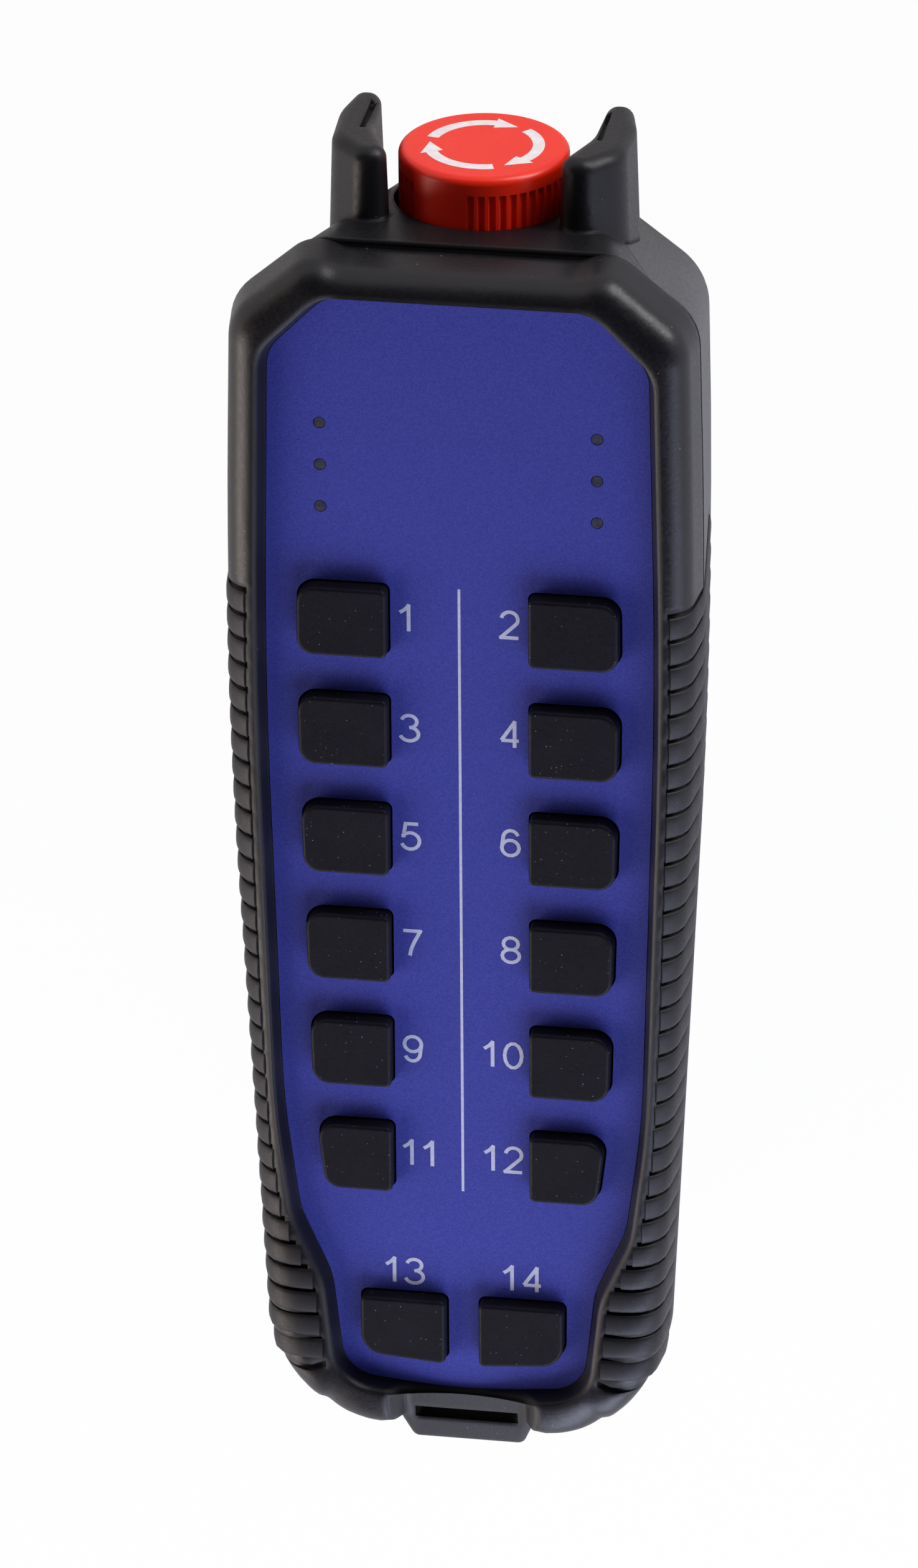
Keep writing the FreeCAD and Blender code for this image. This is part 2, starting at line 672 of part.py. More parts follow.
def bar_edge(bar, height):
    """Rounds the edges of the bar that lie at the given height, beyond the slot."""
    outer = [e for e in bar.Edges if all(v.Y < STRAP_SLOT_Y for v in e.Vertexes)]
    flat = [e for e in outer if all(abs(v.Z - height(v.Y)) < 1e-4 for v in e.Vertexes)]
    return bar.makeFillet(STRAP_BAR_EDGE, flat)


def strap_bar_top():
    bar = plate(bar_plan(), PARTING, FILM_FACE).cut(strap_channel(STRAP_BAR_HALF))
    return bar_edge(bar, channel_floor)


def front_amounts(side, end, foot):
    """One amount for each run of the front plan, in its order."""
    return [end, side, side, side, foot, foot, side, side, side, end, end]


def front_outside():
    drawn = inset(front_plan(), front_amounts(RIM_DRAW, RIM_END_DRAW, RIM_FOOT_DRAW))
    body = Part.makeLoft([outline(front_plan(), PARTING), outline(drawn, BODY_DEPTH)], True, True)
    rim = [e for e in body.Edges if all(abs(v.Z - BODY_DEPTH) < 1e-6 for v in e.Vertexes)]
    return body.makeFillet(RIM_ROUND, rim)


def joint_groove():
    """Shadow line along the lower edge of the front cover."""
    ring = plate(inset(front_plan(), -JOINT_GAP), PARTING, PARTING + JOINT_GAP)
    return ring.cut(plate(inset(front_plan(), JOINT_GAP), PARTING, PARTING + JOINT_GAP))


def panel_recess():
    """Bed of the film and the sloping sides up to the rim and beyond it."""
    bed = plate(inset(panel_plan(), -FILM_CLEAR), PANEL_FACE, FILM_FACE)
    wider = FILM_CLEAR + RECESS_SLOPE * (FILM_DROP + RIM_ROUND) / FILM_DROP
    sides = Part.makeLoft([
        outline(inset(panel_plan(), -FILM_CLEAR), FILM_FACE),
        outline(inset(panel_plan(), -wider), BODY_DEPTH + RIM_ROUND)], True, True)
    return joined([bed, sides])


def front_cover():
    body = front_outside()
    walls = front_amounts(FRONT_WALL, FRONT_WALL, FOOT_WALL)
    hollow = plate(inset(front_plan(), walls), PARTING, PANEL_UNDER)
    body = body.cut(hollow).cut(panel_recess())
    cuts = [plate(key_hole(n), PANEL_UNDER, PANEL_FACE) for n in KEY_NUMBERS]
    cuts += [post(x, y, PANEL_UNDER, PANEL_FACE, LED_RADIUS + SCREW_CLEAR) for x, y in led_places()]
    body = body.cut(Part.makeCompound(cuts))
    bosses = [post(x, y, PARTING, PANEL_UNDER, CASE_PILLAR_RADIUS) for x, y in CASE_SCREW_PLACES]
    for y in BOARD_SCREW_YS:
        bosses.append(post(BOARD_SCREW_X, y, BOARD_TOP, PANEL_UNDER, BOARD_BOSS_RADIUS))
    body = joined([body] + bosses)
    bites = []
    for x, y in CASE_SCREW_PLACES:
        top = PARTING + CASE_SCREW_BITE + SCREW_CLEAR
        bites.append(post(x, y, PARTING, top, CASE_SCREW_RADIUS + SCREW_CLEAR))
    for y in BOARD_SCREW_YS:
        top = BOARD_TOP + BOARD_SCREW_BITE + SCREW_CLEAR
        bites.append(post(BOARD_SCREW_X, y, BOARD_TOP, top, BOARD_SCREW_RADIUS + SCREW_CLEAR))
    body = body.cut(Part.makeCompound(bites)).cut(joint_groove())
    body = body.cut(strap_channel(STRAP_SLOT_HALF + STRAP_WALL / 2))
    body = joined([body, strap_bar_top()]).cut(strap_slot())
    return body.cut(grip_grooves())


def gasket_plan(extra):
    rim = GASKET_INSET + extra
    foot = FOOT_WALL - GASKET_INSET - GASKET_WIDTH + extra
    return inset(rear_plan(), rear_amounts(rim, rim, rim, foot))


def case_gasket():
    outer = plate(gasket_plan(0.0), PARTING - GASKET_DEPTH, PARTING)
    return outer.cut(plate(gasket_plan(GASKET_WIDTH), PARTING - GASKET_DEPTH, PARTING))


def strap_bar():
    low = PARTING - STRAP_BAR_DEPTH
    return bar_edge(plate(bar_plan(), low, PARTING), lambda y: low)


def bay_block(margin_x, margin_y, low, high):
    """Box round the battery bay, larger than it by the margins."""
    x = BAY_HALF + margin_x
    y = BAY_HALF_LENGTH + margin_y
    return block(-x, x, BAY_Y - y, BAY_Y + y, low, high)


def lid_plan(shrink):
    x = BAY_HALF + LID_LEDGE - shrink
    y = BAY_HALF_LENGTH + LID_LEDGE + LID_EAR - shrink
    return mirrored([(x, BAY_Y + y, LID_ROUND), (x, BAY_Y - y, LID_ROUND)])


def lid_screw_places():
    return [(0.0, BAY_Y + side * LID_SCREW_REACH) for side in (-1, 1)]


def rear_cover():
    outer = rear_outside().cut(beyond_seam())
    body = outer.cut(rear_hollow(0.0))
    adds = [strap_bar(), bay_block(BAY_WALL, BAY_WALL, FLOOR, BAY_TOP + BAY_WALL)]
    adds.append(plate(lid_plan(-BAY_WALL), 0.0, LID_SEAT + BAY_WALL))
    boss_top = LID_SEAT + LID_SCREW_BITE + BAY_WALL
    adds += [post(x, y, FLOOR, boss_top, LID_BOSS_RADIUS) for x, y in lid_screw_places()]
    adds += [post(x, y, FLOOR, PARTING, CASE_PILLAR_RADIUS) for x, y in CASE_SCREW_PLACES]
    body = joined([body] + adds)
    cuts = [bay_block(0.0, 0.0, 0.0, BAY_TOP), plate(lid_plan(0.0), 0.0, LID_SEAT)]
    cuts += [strap_slot(), case_gasket(), along_stop(COLLAR_RADIUS + SPIGOT_CLEAR, SPIGOT_END_Y, SEAM_Y)]
    for x, y in lid_screw_places():
        cuts.append(post(x, y, LID_SEAT, LID_SEAT + LID_SCREW_BITE, LID_SCREW_RADIUS + SCREW_CLEAR))
    for x, y in CASE_SCREW_PLACES:
        cuts.append(post(x, y, 0.0, PARTING - CASE_SCREW_SEAT, CASE_SCREW_HEAD_RADIUS + HEAD_CLEAR))
        cuts.append(post(x, y, 0.0, PARTING, CASE_SCREW_RADIUS + SCREW_CLEAR))
    body = body.cut(Part.makeCompound(cuts))
    return body.cut(grip_grooves())


def case_screws():
    screws = []
    seat = PARTING - CASE_SCREW_SEAT
    for x, y in CASE_SCREW_PLACES:
        head = post(x, y, seat - CASE_SCREW_HEAD, seat, CASE_SCREW_HEAD_RADIUS)
        screws.append(joined([head, post(x, y, seat, PARTING + CASE_SCREW_BITE, CASE_SCREW_RADIUS)]))
    return Part.makeCompound(screws)


# Battery

def battery_lid():
    lid = plate(lid_plan(LID_CLEAR), 0.0, LID_THICK)
    holes = []
    for x, y in lid_screw_places():
        holes.append(post(x, y, 0.0, LID_SCREW_HEAD, LID_SCREW_HEAD_RADIUS + SCREW_CLEAR))
        holes.append(post(x, y, 0.0, LID_THICK, LID_SCREW_RADIUS + SCREW_CLEAR))
    return lid.cut(Part.makeCompound(holes))


def battery_lid_screws():
    screws = []
    for x, y in lid_screw_places():
        head = post(x, y, LID_CLEAR, LID_SCREW_HEAD, LID_SCREW_HEAD_RADIUS)
        shank = post(x, y, LID_SCREW_HEAD, LID_SEAT + LID_SCREW_BITE - SCREW_CLEAR, LID_SCREW_RADIUS)
        screws.append(joined([head, shank]))
    return Part.makeCompound(screws)


def battery_lid_seal():
    outer = bay_block(LID_SEAL_WIDTH, LID_SEAL_WIDTH, LID_THICK, LID_SEAT)
    return outer.cut(bay_block(0.0, 0.0, LID_THICK, LID_SEAT))


def battery_cells():
    cells = []
    for i in range(CELL_COUNT):
        x = (2 * i - CELL_COUNT + 1) * CELL_SPAN
        start = V(x, BAY_Y - CELL_LENGTH / 2, CELL_HEIGHT)
        cells.append(Part.makeCylinder(CELL_RADIUS, CELL_LENGTH, start, V(0, 1, 0)))
    return Part.makeCompound(cells)


def battery_contacts():
    x = BAY_HALF - CELL_SPACE
    low, high = CELL_HEIGHT - CELL_RADIUS / 2, BAY_TOP
    near = BAY_HALF_LENGTH - CONTACT_THICK
    far_plate = block(-x, x, BAY_Y + near, BAY_Y + BAY_HALF_LENGTH, low, high)
    return Part.makeCompound([far_plate, far_plate.mirror(V(0, BAY_Y, 0), V(0, 1, 0))])


# Stop button

def horn():
    """Right wing of the guard: a curved section, drawn in from the foot to a level top."""
    sections = []
    for y, extra in ((SEAM_Y - HORN_SEAT, HORN_DRAW), (HORN_TIP_Y, 0.0)):
        section = outline(inset(HORN_CORNERS, -extra), 0)
        section.rotate(V(0, 0, 0), V(1, 0, 0), 90)
        section.translate(V(0, y, STOP_HEIGHT))
        sections.append(section)
    wing = Part.makeLoft(sections, True, True)
    top = [e for e in wing.Edges if all(abs(v.Y - HORN_TIP_Y) < 1e-6 for v in e.Vertexes)]
    wing = wing.makeFillet(HORN_ROUND, top)
    slit = block(
        HORN_SLIT_IN, HORN_SLIT_IN + HORN_SLIT, HORN_TIP_Y - HORN_SLIT_DEPTH, FAR,
        STOP_HEIGHT + HORN_SLIT_LOW, STOP_HEIGHT + HORN_SLIT_HIGH)
    return wing.cut(slit).cut(rear_outside().cut(beyond_seam()))


def stop_guard():
    flange = rear_outside().common(beyond_seam())
    spigot = rear_hollow(SPIGOT_CLEAR)
    spigot = spigot.common(block(-FAR, FAR, SPIGOT_END_Y, SEAM_Y, -FAR, FAR))
    wing = horn()
    collar = along_stop(COLLAR_RADIUS, SPIGOT_END_Y, SEAM_Y)
    body = joined([flange, spigot, collar, wing, wing.mirror(V(0, 0, 0), V(1, 0, 0))])
    cuts = [along_stop(WELL_RADIUS, WELL_FLOOR_Y, HORN_TIP_Y)]
    cuts.append(along_stop(BUSH_RADIUS + BUSH_CLEAR, SPIGOT_END_Y, WELL_FLOOR_Y))
    cuts.append(case_gasket())
    return body.cut(Part.makeCompound(cuts))


def turned_on_stop(profile):
    """Revolves (radius, y) points about the stop button's axis."""
    points = [V(r, y, STOP_HEIGHT) for r, y in profile]
    face = Part.Face(Part.makePolygon(points + points[:1]))
    return face.revolve(V(0, 0, STOP_HEIGHT), V(0, 1, 0), 360)


def stop_head():
    neck = SHAFT_NECK_RADIUS + SHAFT_CLEAR
    neck_top = HEAD_CEILING_Y + SHAFT_NECK + SHAFT_CLEAR
    inner = HEAD_RADIUS - HEAD_WALL
    head = turned_on_stop([
        (0, HEAD_TOP_Y), (HEAD_RADIUS, HEAD_TOP_Y), (HEAD_RADIUS, HEAD_UNDER_Y), (inner, HEAD_UNDER_Y),
        (inner, HEAD_CEILING_Y), (neck, HEAD_CEILING_Y), (neck, neck_top), (0, neck_top)])
    rim = [e for e in head.Edges if all(abs(v.Y - HEAD_TOP_Y) < 1e-6 for v in e.Vertexes)]
    head = head.makeFillet(HEAD_EDGE_ROUND, [e for e in rim if e.Length > HEAD_RADIUS])
    flutes = []
    for group in range(FLUTE_GROUPS):
        for i in range(FLUTES_IN_GROUP):
            angle = math.radians(group * 360 / FLUTE_GROUPS + FLUTE_FIRST + i * FLUTE_STEP)
            x = HEAD_RADIUS * math.sin(angle)
            z = STOP_HEIGHT + HEAD_RADIUS * math.cos(angle)
            length = HEAD_HEIGHT - FLUTE_DROP
            flutes.append(Part.makeCylinder(FLUTE_RADIUS, length, V(x, HEAD_UNDER_Y, z), V(0, 1, 0)))
    return head.cut(Part.makeCompound(flutes))


def stop_shaft():
    foot = HEAD_CEILING_Y - SHAFT_LENGTH
    step = HEAD_CEILING_Y - SHAFT_CLEAR
    shaft = along_stop(SHAFT_RADIUS, foot, step)
    return joined([shaft, along_stop(SHAFT_NECK_RADIUS, step, HEAD_CEILING_Y + SHAFT_NECK)])


def stop_bush():
    bore = SHAFT_RADIUS + SHAFT_CLEAR
    seat = WELL_FLOOR_Y + STOP_GASKET_THICK
    guide_top = HEAD_CEILING_Y - STOP_TRAVEL - HEAD_CLEAR
    return turned_on_stop([
        (bore, WELL_FLOOR_Y - BUSH_LENGTH), (BUSH_RADIUS, WELL_FLOOR_Y - BUSH_LENGTH), (BUSH_RADIUS, seat),
        (BUSH_FLANGE_RADIUS, seat), (BUSH_FLANGE_RADIUS, seat + BUSH_FLANGE),
        (BUSH_GUIDE_RADIUS, seat + BUSH_FLANGE), (BUSH_GUIDE_RADIUS, guide_top), (bore, guide_top)])


def stop_gasket():
    ring = along_stop(BUSH_FLANGE_RADIUS, WELL_FLOOR_Y, WELL_FLOOR_Y + STOP_GASKET_THICK)
    return ring.cut(along_stop(BUSH_RADIUS + BUSH_CLEAR, WELL_FLOOR_Y, WELL_FLOOR_Y + STOP_GASKET_THICK))


def stop_nut():
    radius = NUT_FLATS / 2 / math.cos(math.pi / 6)
    corners = [(radius * math.cos(i * math.pi / 3), radius * math.sin(i * math.pi / 3)) for i in range(6)]
    points = [V(x, SPIGOT_END_Y - NUT_THICK, STOP_HEIGHT + z) for x, z in corners]
    nut = Part.Face(Part.makePolygon(points + points[:1])).extrude(V(0, NUT_THICK, 0))
    return nut.cut(along_stop(BUSH_RADIUS + BUSH_CLEAR, SPIGOT_END_Y - NUT_THICK, SPIGOT_END_Y))


def stop_contact_block():
    top = WELL_FLOOR_Y - BUSH_LENGTH + BLOCK_SOCKET
    half = BLOCK_HALF
    body = block(-half, half, top - BLOCK_LENGTH, top, STOP_HEIGHT - half, STOP_HEIGHT + half)
    body = body.makeFillet(BLOCK_ROUND, body.Edges)
    socket = along_stop(BUSH_RADIUS + BUSH_CLEAR, top - BLOCK_SOCKET, top)
    foot = HEAD_CEILING_Y - SHAFT_LENGTH - STOP_TRAVEL - HEAD_CLEAR
    return body.cut(joined([socket, along_stop(SHAFT_RADIUS + HEAD_CLEAR, foot, top)]))


def stop_spring():
    low = WELL_FLOOR_Y + STOP_GASKET_THICK + BUSH_FLANGE + SPRING_CLEAR + SPRING_WIRE
    high = HEAD_CEILING_Y - SPRING_CLEAR - SPRING_WIRE
    sections = []
    steps = round(SPRING_TURNS * SPRING_STEPS)
    for i in range(steps + 1):
        angle = 2 * math.pi * i / SPRING_STEPS
        x, z = SPRING_RADIUS * math.cos(angle), SPRING_RADIUS * math.sin(angle)
        place = V(x, low + (high - low) * i / steps, STOP_HEIGHT + z)
        along = V(-math.sin(angle), 0, math.cos(angle))
        sections.append(Part.Wire(Part.makeCircle(SPRING_WIRE, place, along)))
    return Part.makeLoft(sections, True, True)


def main():
    os.makedirs("parts", exist_ok=True)
    pieces = [
        front_cover, rear_cover, case_gasket, case_screws, panel_film, key_seal, key_domes,
        light_guides, status_leds, circuit_board, board_screws, radio_module, aerial,
        battery_lid, battery_lid_screws, battery_lid_seal, battery_cells, battery_contacts,
        stop_guard, stop_head, stop_shaft, stop_bush, stop_gasket, stop_nut,
        stop_contact_block, stop_spring]
    for piece in pieces:
        save(piece.__name__, piece())
    for number in KEY_NUMBERS:
        save("button_%d" % number, button(number))


if __name__ == "__main__":
    main()
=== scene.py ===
import math

import bmesh
import bpy
from mathutils import Matrix, Vector
from mathutils.bvhtree import BVHTree


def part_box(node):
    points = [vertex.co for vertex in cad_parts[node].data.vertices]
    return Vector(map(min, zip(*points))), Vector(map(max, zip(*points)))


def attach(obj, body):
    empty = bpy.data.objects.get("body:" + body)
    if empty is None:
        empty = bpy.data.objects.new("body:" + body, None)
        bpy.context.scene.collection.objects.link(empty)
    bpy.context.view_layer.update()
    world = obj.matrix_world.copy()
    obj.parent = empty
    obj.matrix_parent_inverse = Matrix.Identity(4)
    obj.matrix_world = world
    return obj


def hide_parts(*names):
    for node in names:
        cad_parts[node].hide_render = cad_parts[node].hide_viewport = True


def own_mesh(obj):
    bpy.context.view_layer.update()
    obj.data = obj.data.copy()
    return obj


# Handheld radio remote control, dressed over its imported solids.
# X runs across the housing, Y towards the stop button, Z out of the key panel. Sizes are in metres.

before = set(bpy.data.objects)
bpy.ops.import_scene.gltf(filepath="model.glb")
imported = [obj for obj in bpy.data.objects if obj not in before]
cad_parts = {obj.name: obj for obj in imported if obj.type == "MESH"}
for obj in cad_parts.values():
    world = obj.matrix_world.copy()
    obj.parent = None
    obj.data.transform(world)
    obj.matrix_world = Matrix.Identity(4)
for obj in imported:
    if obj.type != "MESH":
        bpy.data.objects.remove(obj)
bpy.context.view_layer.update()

MM = 0.001
FILM_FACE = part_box("panel_film")[1].z
HEAD_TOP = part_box("stop_head")[1].y
STOP_AXIS = (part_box("stop_head")[0].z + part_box("stop_head")[1].z) / 2

# Grip ribs between the grooves of both long sides
GROOVES = 33
GROOVE_PITCH = 4.205 * MM
FIRST_GROOVE = 43.2 * MM
RIB_WIDTH = 3.7 * MM
RIB_CROWN = 0.38 * MM
RIB_END_Z = 19.5 * MM
RIB_START = 2.6 * MM       # edge of the film to the inner end of a rib
RIB_BEND_IN = 3.2 * MM     # from the side to where a rib starts to turn down
RIM_PIVOT_IN = 5.5 * MM    # from the side to the middle of the rim's rounding
RIM_PIVOT_Z = 50 * MM
SIDE_Z = 46 * MM           # height at which the side is found
RAY_REACH = 0.1            # far outside the housing
RIM_RAY = 0.05
FILM_EDGE = ((43.0, 29.6), (29.0, 29.75), (-46.0, 28.0), (-65.5, 25.6), (-77.0, 20.7), (-94.8, 18.9))

# Fuller narrow end of the front cover
FOOT_FILL = 2.4 * MM
FRONT_FOOT = 45.5 * MM     # joint between the two covers
FRONT_RIM = 56.0 * MM
FILL_IN = (0.5 * MM, 5 * MM)           # outwards from the film's edge
FILL_ALONG = (-74 * MM, -102 * MM)
FILL_ASIDE = (8.5 * MM, 12.5 * MM)     # outwards from the strap bar, which stays
FILM_CLEAR = 1 * MM

# Print on the film and on the stop button
PRINT_THICK = 0.04 * MM
NUMBER_HEIGHT = 4.9 * MM
NUMBER_STROKE = 0.58 * MM
DIGIT_WIDTH = 3.25 * MM
ONE_WIDTH = 1.9 * MM
DIGIT_STEP = 3.2 * MM
STROKE_LIFT = 0.004 * MM
CORNER_TURN = 40           # degrees
CORNER_REACH = 0.22 * MM
ROW_LIFT = 0.3 * MM        # middle of a key to the middle of its number
NUMBER_END = 9.3 * MM      # from the centre line, for one digit
LONG_NUMBER_END = 9.6 * MM
FOOT_NUMBER_Y = -75.6 * MM
FOOT_NUMBER_ENDS = (-12.55 * MM, 12.5 * MM)
LINE_WIDTH = 0.42 * MM
LINE_ENDS = (44.3 * MM, -60.4 * MM)
ARROW_TAIL = 168           # degrees, as the next two
ARROW_SHAFT = 82
ARROW_LENGTH = 108
ARROW_OUTER = 9.1 * MM
ARROW_INNER = 7.3 * MM
ARROW_HEAD_WIDTH = 3.5 * MM

# Screws of the battery lid
SCREW_HEAD = 1.4 * MM
SCREW_SHANK = 1.5 * MM
SCREW_SLOT = 0.8 * MM

FLOOR_GAP = 0.2 * MM


def linear(code):
    """An sRGB hex value as the linear colour that the shaders take."""
    parts = [int(code[i:i + 2], 16) / 255 for i in (1, 3, 5)]
    return [p / 12.92 if p <= 0.04045 else ((p + 0.055) / 1.055) ** 2.4 for p in parts] + [1.0]


def add(tree, kind, values=None, links=None, **settings):
    """One node with its settings, its input values and the outputs that feed it."""
    node = tree.nodes.new(kind)
    for name, value in settings.items():
        setattr(node, name, value)
    for name, value in (values or {}).items():
        node.inputs[name].default_value = value
    for name, source in (links or {}).items():
        tree.links.new(source, node.inputs[name])
    return node


# Materials

def surface(name, dark, light, mottle, grain, relief, rough, shader=None,
            stretch=(1, 1, 1), dust=None, soft_edge=0.0):
    """A solid finish: two tones in patches of size mottle, and a grain that gives bump and roughness.
    Sizes are in millimetres. dust is (spacing, speck radius, share that shows, colour), and soft_edge
    is the radius by which edges are shaded round."""
    finish = bpy.data.materials.new(name)
    finish.use_nodes = True
    tree = finish.node_tree
    tree.nodes.clear()
    place = add(tree, "ShaderNodeTexCoord").outputs["Object"]
    place = add(tree, "ShaderNodeMapping", {"Scale": stretch}, {"Vector": place}).outputs["Vector"]
    patches = add(tree, "ShaderNodeTexNoise", {"Scale": 1 / (mottle * MM), "Detail": 3.0}, {"Vector": place})
    share = add(tree, "ShaderNodeMapRange", {"From Min": 0.3, "From Max": 0.7}, {"Value": patches.outputs["Fac"]})
    tone = add(tree, "ShaderNodeMix", {6: linear(dark), 7: linear(light)}, {0: share.outputs["Result"]},
               data_type="RGBA").outputs[2]
    fine = add(tree, "ShaderNodeTexNoise", {"Scale": 1 / (grain * MM), "Detail": 2.0}, {"Vector": place})
    gloss = add(tree, "ShaderNodeMapRange", {"From Min": 0.3, "From Max": 0.7, "To Min": rough[0], "To Max": rough[1]},
                {"Value": fine.outputs["Fac"]}).outputs["Result"]
    if dust:
        spacing, radius, shown, colour = dust
        cells = add(tree, "ShaderNodeTexVoronoi", {"Scale": 1 / (spacing * MM)}, {"Vector": place})
        speck = add(tree, "ShaderNodeMapRange",
                    {"From Min": radius / spacing, "From Max": 0.6 * radius / spacing},
                    {"Value": cells.outputs["Distance"]}).outputs["Result"]
        draw = add(tree, "ShaderNodeSeparateColor", None, {"Color": cells.outputs["Color"]}).outputs["Red"]
        chosen = add(tree, "ShaderNodeMapRange", {"From Min": 1 - shown, "From Max": 1.0},
                     {"Value": draw}).outputs["Result"]
        speck = add(tree, "ShaderNodeMath", None, {0: speck, 1: chosen}, operation="MULTIPLY").outputs["Value"]
        tone = add(tree, "ShaderNodeMix", {7: linear(colour)}, {0: speck, 6: tone}, data_type="RGBA").outputs[2]
    bump = add(tree, "ShaderNodeBump", {"Distance": relief * MM}, {"Height": fine.outputs["Fac"]})
    if soft_edge:
        edge = add(tree, "ShaderNodeBevel", {"Radius": soft_edge * MM}, samples=4)
        tree.links.new(edge.outputs["Normal"], bump.inputs["Normal"])
    shine = add(tree, "ShaderNodeBsdfPrincipled", shader,
                {"Base Color": tone, "Roughness": gloss, "Normal": bump.outputs["Normal"]})
    add(tree, "ShaderNodeOutputMaterial", None, {"Surface": shine.outputs["BSDF"]})
    return finish


# Spark-textured tool: a dark blue-grey satin that goes pale where it grazes the light, with a little dust.
cover_plastic = surface("Moulded ABS housing", "#100F14", "#17161B", 14.0, 0.5, 0.02, (0.3, 0.4),
                        {"IOR": 1.53, "Specular IOR Level": 0.4}, dust=(1.6, 0.16, 0.22, "#6A6872"), soft_edge=1.6)
# Glass-filled and a shade greyer, with a coarser skin than the housing.
guard_plastic = surface("Moulded glass-filled nylon guard", "#111115", "#18181C", 11.0, 0.6, 0.025, (0.34, 0.46),
                        {"IOR": 1.53, "Specular IOR Level": 0.32}, dust=(1.6, 0.15, 0.18, "#6A6872"), soft_edge=1.1)
# The same plastic on the grip: duller, so that light spreads evenly over the crowns, and a shade lighter than the
# housing, which is painted light on the crowns.
grip_plastic = surface("Moulded ABS grip, dulled by use, painted lighter", "#131217", "#1A191E", 9.0, 0.4, 0.015, (0.44, 0.56),
                       {"IOR": 1.53, "Specular IOR Level": 0.36}, dust=(1.6, 0.14, 0.15, "#6A6872"))
# Soft and matt: light spreads over it, and lint sticks to it.
key_rubber = surface("Moulded silicone keys", "#100F17", "#17161F", 6.0, 0.45, 0.015, (0.46, 0.6),
                     {"IOR": 1.41, "Specular IOR Level": 0.24}, dust=(0.8, 0.11, 0.4, "#8E8C96"))
# Printed on the back of a textured clear sheet: an even blue-violet with a fine sparkle of its grain.
film_sheet = surface("Back-printed polyester film", "#3A40A1", "#4A51B9", 0.3, 0.25, 0.015, (0.42, 0.56),
                     {"IOR": 1.5, "Specular IOR Level": 0.3})
# Screen ink: flat and pale, slightly uneven where the mesh of the screen left it thin.
pale_ink = surface("Screen-printed pale ink", "#CBD2F6", "#E0E5FB", 0.7, 0.3, 0.004, (0.45, 0.6), {"IOR": 1.5})
# Pad print: a soft white skin over red plastic.
white_ink = surface("Pad-printed white ink", "#E9E1E4", "#F6F2F3", 1.2, 0.3, 0.003, (0.35, 0.5), {"IOR": 1.5})
# Clear red moulding colour with a smooth, slightly waxy gloss that lets some light in.
stop_red = surface("Moulded red nylon head", "#F42305", "#F82A08", 9.0, 0.5, 0.008, (0.32, 0.42),
                   {"IOR": 1.53, "Specular IOR Level": 0.44, "Subsurface Weight": 0.05, "Subsurface Scale": 0.8 * MM})
# Smoke-grey clear plastic over an unlit lamp: glossy, with a dull grey body.
window_plastic = surface("Polished smoked polycarbonate", "#3C3E4C", "#565868", 0.9, 0.4, 0.002, (0.1, 0.18),
                         {"IOR": 1.58, "Coat Weight": 0.4})
# Cured rubber cord: black and dull, faintly chalky.
gasket_rubber = surface("Moulded EPDM seal", "#141414", "#1D1D1D", 3.0, 0.3, 0.015, (0.6, 0.8), {"IOR": 1.5})
# Water-clear lens body over a pale chip.
led_plastic = surface("Cast epoxy lamp", "#C9C8B4", "#E4E3D2", 0.5, 0.25, 0.004, (0.12, 0.22), {"IOR": 1.54})
# Solder resist over copper: green gloss with a darker weave of glass cloth beneath.
board_resist = surface("Coated glass-epoxy board", "#0B3B22", "#13522F", 0.9, 0.45, 0.006, (0.25, 0.4), {"IOR": 1.52})
# Stamped thin strip: bright, with a slight drag of the punch.
dome_steel = surface("Stamped stainless dome", "#A9A8A4", "#C2C1BC", 1.4, 0.25, 0.003, (0.2, 0.34), {"Metallic": 1.0})
# Tin-plated sheet: whitish metal with soft spangle.
shield_tin = surface("Tin-plated steel can", "#B3B2AD", "#CFCEC9", 2.2, 0.35, 0.004, (0.28, 0.42), {"Metallic": 1.0})
# Zinc over steel, passivated: cool grey, dulled by handling.
screw_zinc = surface("Zinc-plated steel screws", "#8F9297", "#B2B4B8", 0.8, 0.25, 0.005, (0.28, 0.45),
                     {"Metallic": 1.0})
# Nickel on a spring strip: warm bright grey.
contact_nickel = surface("Nickel-plated contact strip", "#B1AB9E", "#CBC6BA", 1.5, 0.3, 0.003, (0.2, 0.32),
                         {"Metallic": 1.0}, stretch=(1, 1, 0.25))
# Drawn wire: long streaks round the coils.
spring_wire = surface("Drawn stainless spring wire", "#8C8D8E", "#B6B7B7", 0.7, 0.2, 0.003, (0.22, 0.36),
                      {"Metallic": 1.0}, stretch=(0.3, 1, 0.3))
# Turned rod, left bare: yellow metal a little tarnished.
aerial_brass = surface("Drawn brass aerial", "#A9843C", "#C9A658", 1.6, 0.25, 0.003, (0.24, 0.4),
                       {"Metallic": 1.0}, stretch=(1, 0.25, 1))
# Printed shrink sleeve round a steel can: smooth and semi-gloss.
cell_sleeve = surface("Shrink-sleeved steel cell", "#2B3A4C", "#394B61", 8.0, 0.6, 0.006, (0.28, 0.4), {"IOR": 1.5})
# Engineering plastics inside: natural pale, slightly waxy.
bush_plastic = surface("Moulded acetal bush", "#23232A", "#2E2E36", 5.0, 0.4, 0.008, (0.34, 0.46), {"IOR": 1.48})
block_plastic = surface("Moulded polyamide switch block", "#B9B7AE", "#CBC9C1", 7.0, 0.5, 0.012, (0.4, 0.55),
                        {"IOR": 1.53})
shaft_plastic = surface("Turned acetal shaft", "#D8D5CC", "#E6E3DB", 2.0, 0.3, 0.006, (0.3, 0.42), {"IOR": 1.48},
                        stretch=(1, 4, 1))

